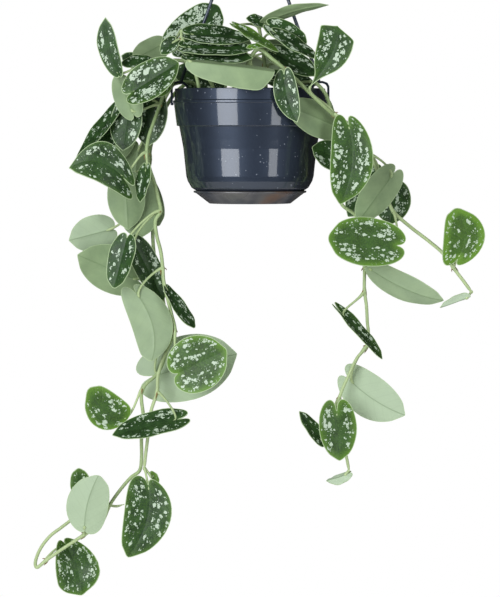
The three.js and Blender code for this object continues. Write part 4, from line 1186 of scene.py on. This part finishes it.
class POTHOS_OT_hanger(bpy.types.Operator):
    """Make the hanger: two clips, two arms, the boss where they meet and the hook"""

    bl_idname = "pothos.hanger"
    bl_label = "Hanger"

    def execute(self, context):
        look = context.scene.pothos_pot
        body = Body()
        arm = [
            (-69, 6), (-66, 15), (-61, 30), (-49.5, 56), (-38, 88), (-20, 138), (-2.5, BOSS_HEIGHT),
        ]
        for hand in (1, -1):
            self.add_clip(body, hand)
            body.add_tube(smooth_route([(hand * x, 0, height) for x, height in arm], 6), ARM_ROD, 12)
        bend = HOOK_RADIUS + HOOK_ROD
        centre = -RIM_HEIGHT - HOOK_RADIUS
        route = [(0, 0, BOSS_HEIGHT), (0, 0, centre - 26), (2.8, 0, centre - 17)]
        for degrees in range(-50, 201, 25):
            turn = math.radians(degrees)
            route.append((bend * math.cos(turn), 0, centre + bend * math.sin(turn)))
        body.add_tube(smooth_route(route, 4), HOOK_ROD, 14)
        low, high = BOSS_HEIGHT - 5, BOSS_HEIGHT + 7
        boss = [(0, low), (BOSS_RADIUS, low), (BOSS_RADIUS, high), (0, high)]
        body.add(*turned(eased(boss, 0.8), 32))
        body.piece("wire_hanger", "hanger_plastic", "hanger", [pot_material(look)], sharp=35)
        return {"FINISHED"}

    def add_clip(self, body, hand):
        """A clip astride the rim. Its outer leg hooks under the bead and its inner leg springs inward."""
        leg = BEAD_RADIUS + FIT
        toe = RIM_RADIUS + 1.3
        lip = BEAD_FOOT - FIT
        outline = [
            (toe, lip), (leg, lip), (leg, 1.5), (75.6, 4.2), (72, 5.6), (67.5, 5.2), (64, 2.6),
            (62.2, -3), (60.6, -2.4), (62.2, 3.6), (66.2, 7.2), (72.2, 7.6), (77.2, 5.8),
            (leg + 2, 2.2), (leg + 2, lip - 2), (toe, lip - 2), (toe, lip),
        ]
        loop = eased(outline, 0.8)[:-1]
        half, ease = CLIP_WIDTH / 2, 0.35
        middle = sum(loop, Vector((0, 0))) / len(loop)
        corners = []
        for depth, shrink in ((-half, ease), (ease - half, 0), (half - ease, 0), (half, ease)):
            for radius, height in loop:
                toward = (middle - Vector((radius, height))).normalized() * shrink * 0.4
                corners.append((hand * (radius + toward.x), hand * depth, height + toward.y))
        count = len(loop)
        faces = [list(range(count)), list(range(3 * count, 4 * count))[::-1]]
        for layer in range(3):
            for step in range(count):
                first, second = layer * count + step, layer * count + (step + 1) % count
                faces.append([second, first, first + count, second + count])
        body.add(corners, faces)


class POTHOS_OT_soil(bpy.types.Operator):
    """Fill the pot with crumbly peat and scatter perlite on it"""

    bl_idname = "pothos.soil"
    bl_label = "Potting Soil"

    def execute(self, context):
        look = context.scene.pothos_pot
        low = -POT_DEPTH + WALL + FIT
        under = [
            (0, low + 5), (2 * STUD_RADIUS, low + 5), (2 * STUD_RADIUS, low), (FLOOR_RADIUS - 3, low),
            (60.7, -86), (65.1, -51), (67.9, -SKIRT_DEPTH - 1), (RIM_RADIUS - 4.4, 3 - SKIRT_DEPTH),
        ]
        edge = RIM_RADIUS - WALL - 0.5
        rings = 30
        radii = [edge * ring / rings for ring in range(rings, -1, -1)]
        surface = [(radius, self.surface_height(radius)) for radius in radii]
        corners, faces = turned(under + surface, 96)
        width, rise = SOIL_LUMP
        ruffled = []
        for x, y, height in corners:
            top = smoothstep(-SOIL_DEPTH - 2, -SOIL_DEPTH, height)
            lumps = noise.fractal(Vector((x, y, 0)) / width, 0.7, 2.0, 4)
            ruffled.append((x, y, height + float(top) * rise * lumps))
        body = Body()
        body.add(ruffled, faces, PEAT)
        draw = random.Random(5)
        for _ in range(CRUMBS):
            turn = draw.uniform(0, 2 * math.pi)
            radius = edge * math.sqrt(draw.random()) * 0.96
            centre = (radius * math.cos(turn), radius * math.sin(turn), self.surface_height(radius) + 0.3)
            size = draw.uniform(0.8, 2.4)
            self.add_lump(body, centre, size, draw, PERLITE if draw.random() < PERLITE_SHARE else PEAT)
        materials = [soil_material(look), perlite_material(look)]
        body.piece("peat_fill", "potting_soil", "soil", materials, sharp=70)
        return {"FINISHED"}

    def surface_height(self, radius):
        return -SOIL_DEPTH + SOIL_RISE * (1 - (radius / (RIM_RADIUS - WALL)) ** 2)

    def add_lump(self, body, centre, size, draw, finish):
        """A crumb of peat or perlite: a small ball with its corners pushed about."""
        lump = bmesh.new()
        bmesh.ops.create_icosphere(lump, subdivisions=1, radius=size)
        corners = [
            np.array(corner.co) * draw.uniform(0.7, 1.1) * (1, 1, 0.8) + centre for corner in lump.verts
        ]
        faces = [[corner.index for corner in face.verts] for face in lump.faces]
        lump.free()
        body.add(corners, faces, finish)


def grow(context, names):
    """Makes the leafy stems whose names start with one of these, each as one piece."""
    look = context.scene.pothos_foliage
    materials = [bpy.data.materials.get(name) or make(look) for name, make in LEAFY_MATERIALS.items()]
    for number, vine in enumerate(VINES):
        if vine.name.startswith(names):
            body = Body()
            add_vine(body, vine, number, look.ripple / MM)
            body.piece("leafy_" + vine.name, "foliage", vine.name, materials, sharp=75)


class POTHOS_OT_front_vines(bpy.types.Operator):
    """Grow the vines that trail down the left and the right"""

    bl_idname = "pothos.front_vines"
    bl_label = "Trailing Vines"

    def execute(self, context):
        grow(context, ("vine_left", "vine_right"))
        return {"FINISHED"}


class POTHOS_OT_crown(bpy.types.Operator):
    """Grow the short shoots that cover the pot's mouth"""

    bl_idname = "pothos.crown"
    bl_label = "Crown Shoots"

    def execute(self, context):
        grow(context, ("crown",))
        return {"FINISHED"}


class POTHOS_OT_rear_vines(bpy.types.Operator):
    """Grow the two vines that hang over the back of the rim"""

    bl_idname = "pothos.rear_vines"
    bl_label = "Rear Vines"

    def execute(self, context):
        grow(context, ("vine_rear",))
        return {"FINISHED"}


class POTHOS_OT_stage(bpy.types.Operator):
    """Lay the floor and set up the room light, the softboxes and the camera"""

    bl_idname = "pothos.stage"
    bl_label = "Stage"

    def execute(self, context):
        stage = context.scene.pothos_stage
        self.lay_floor(stage)
        self.light_room(context.scene, stage)
        # The brightest softbox stands left of the camera, a narrow one right of it, and behind the plant a
        # dim one that doesn't show in reflections.
        self.add_softbox("softbox_left", -35, 1.26, stage.softbox)
        self.add_softbox("softbox_right", 41, 0.6, 0.75 * stage.softbox)
        back = self.add_softbox("softbox_back", 175, 2.0, 0.3 * stage.softbox)
        back.visible_glossy = False
        self.aim_camera(context.scene, stage)
        context.scene.view_settings.view_transform = "Standard"
        return {"FINISHED"}

    def lay_floor(self, stage):
        corners, faces = [(0, 0, 0)], []
        steps = 96
        for step, turn in enumerate(even_turns(steps)):
            corners.append((stage.floor_radius * math.cos(turn), stage.floor_radius * math.sin(turn), 0))
            faces.append([0, step + 1, (step + 1) % steps + 1])
        disc = bpy.data.meshes.new("floor")
        disc.from_pydata(corners, [], faces)
        disc.materials.append(floor_material(stage))
        floor = bpy.data.objects.new("floor", disc)
        floor.location.z = -stage.floor_drop
        bpy.context.scene.collection.objects.link(floor)

    def light_room(self, scene, stage):
        """A room that is seen white, as behind a lit paper sweep, but dim in what it lights and dimmer in
        reflections."""
        world = bpy.data.worlds.new("white_room")
        world.use_nodes = True
        scene.world = world
        tree = world.node_tree
        backdrop = next(node for node in tree.nodes if node.type == "BACKGROUND")
        path = add_shader(tree, "LightPath")
        dim = {"Value": path.outputs["Is Glossy Ray"], "To Min": stage.fill, "To Max": 0.12 * stage.fill}
        dim = add_shader(tree, "MapRange", dim).outputs[0]
        level = {0: path.outputs["Is Camera Ray"], 1: dim}
        level = add_shader(tree, "Math", level, operation="MAXIMUM").outputs[0]
        feed(tree, backdrop, {"Color": (1, 1, 1, 1), "Strength": level})

    def add_softbox(self, name, azimuth, width, brightness):
        """A softbox of this width in metres, which looks at the pot's axis. Its azimuth is in degrees to
        the right of the camera."""
        light = bpy.data.lights.new(name, "AREA")
        light.shape = "RECTANGLE"
        light.size, light.size_y = width, SOFTBOX_HEIGHT
        light.energy = brightness * math.pi * width * SOFTBOX_HEIGHT
        light.color = SOFTBOX_LIGHT
        box = bpy.data.objects.new(name, light)
        turn = math.radians(azimuth)
        outward = SOFTBOX_DISTANCE * Vector((math.sin(turn), -math.cos(turn), 0))
        box.location = in_row_frame((0, 0, -POT_DEPTH / 2)) + outward + Vector((0, 0, SOFTBOX_LIFT))
        box.rotation_euler = (-outward).to_track_quat("-Z", "Y").to_euler()
        bpy.context.scene.collection.objects.link(box)
        return box

    def aim_camera(self, scene, stage):
        lens = bpy.data.cameras.new("camera")
        camera = bpy.data.objects.new("camera", lens)
        scene.collection.objects.link(camera)
        rim = Vector((0, 0, RIM_HEIGHT * MM))
        camera.location = rim + Vector((0, -stage.camera_distance, stage.camera_height))
        aim = rim + Vector((0, 0, stage.view_middle)) - camera.location
        camera.rotation_euler = aim.to_track_quat("-Z", "Y").to_euler()
        lens.sensor_fit = "VERTICAL"
        lens.sensor_height = 36
        lens.lens = lens.sensor_height * aim.length / stage.view_height
        lens.clip_end = 100
        scene.camera = camera


class POTHOS_PT_panel(bpy.types.Panel):
    """Lists the pieces of the plant in the order in which they are made"""

    bl_idname = "POTHOS_PT_panel"
    bl_label = "Satin Pothos"
    bl_space_type = "VIEW_3D"
    bl_region_type = "UI"
    bl_category = "Pothos"

    def draw(self, context):
        for operator in OPERATORS:
            self.layout.operator(operator.bl_idname)
        for name, settings in SETTINGS.items():
            box = self.layout.box()
            for setting in settings.__annotations__:
                box.prop(getattr(context.scene, name), setting)


SETTINGS = {
    "pothos_pot": PothosPotSettings,
    "pothos_foliage": PothosFoliageSettings,
    "pothos_stage": PothosStageSettings,
}
OPERATORS = (
    POTHOS_OT_stage,
    POTHOS_OT_pot,
    POTHOS_OT_tray,
    POTHOS_OT_hanger,
    POTHOS_OT_soil,
    POTHOS_OT_front_vines,
    POTHOS_OT_crown,
    POTHOS_OT_rear_vines,
)
CLASSES = (*SETTINGS.values(), *OPERATORS, POTHOS_PT_panel)


def register():
    for made in CLASSES:
        bpy.utils.register_class(made)
    for name, settings in SETTINGS.items():
        setattr(bpy.types.Scene, name, PointerProperty(type=settings))


def unregister():
    for name in SETTINGS:
        delattr(bpy.types.Scene, name)
    for made in reversed(CLASSES):
        bpy.utils.unregister_class(made)


def main():
    register()
    bpy.ops.pothos.stage()
    bpy.ops.pothos.pot()
    bpy.ops.pothos.tray()
    bpy.ops.pothos.hanger()
    bpy.ops.pothos.soil()
    bpy.ops.pothos.front_vines()
    bpy.ops.pothos.crown()
    bpy.ops.pothos.rear_vines()


if __name__ == "__main__":
    main()
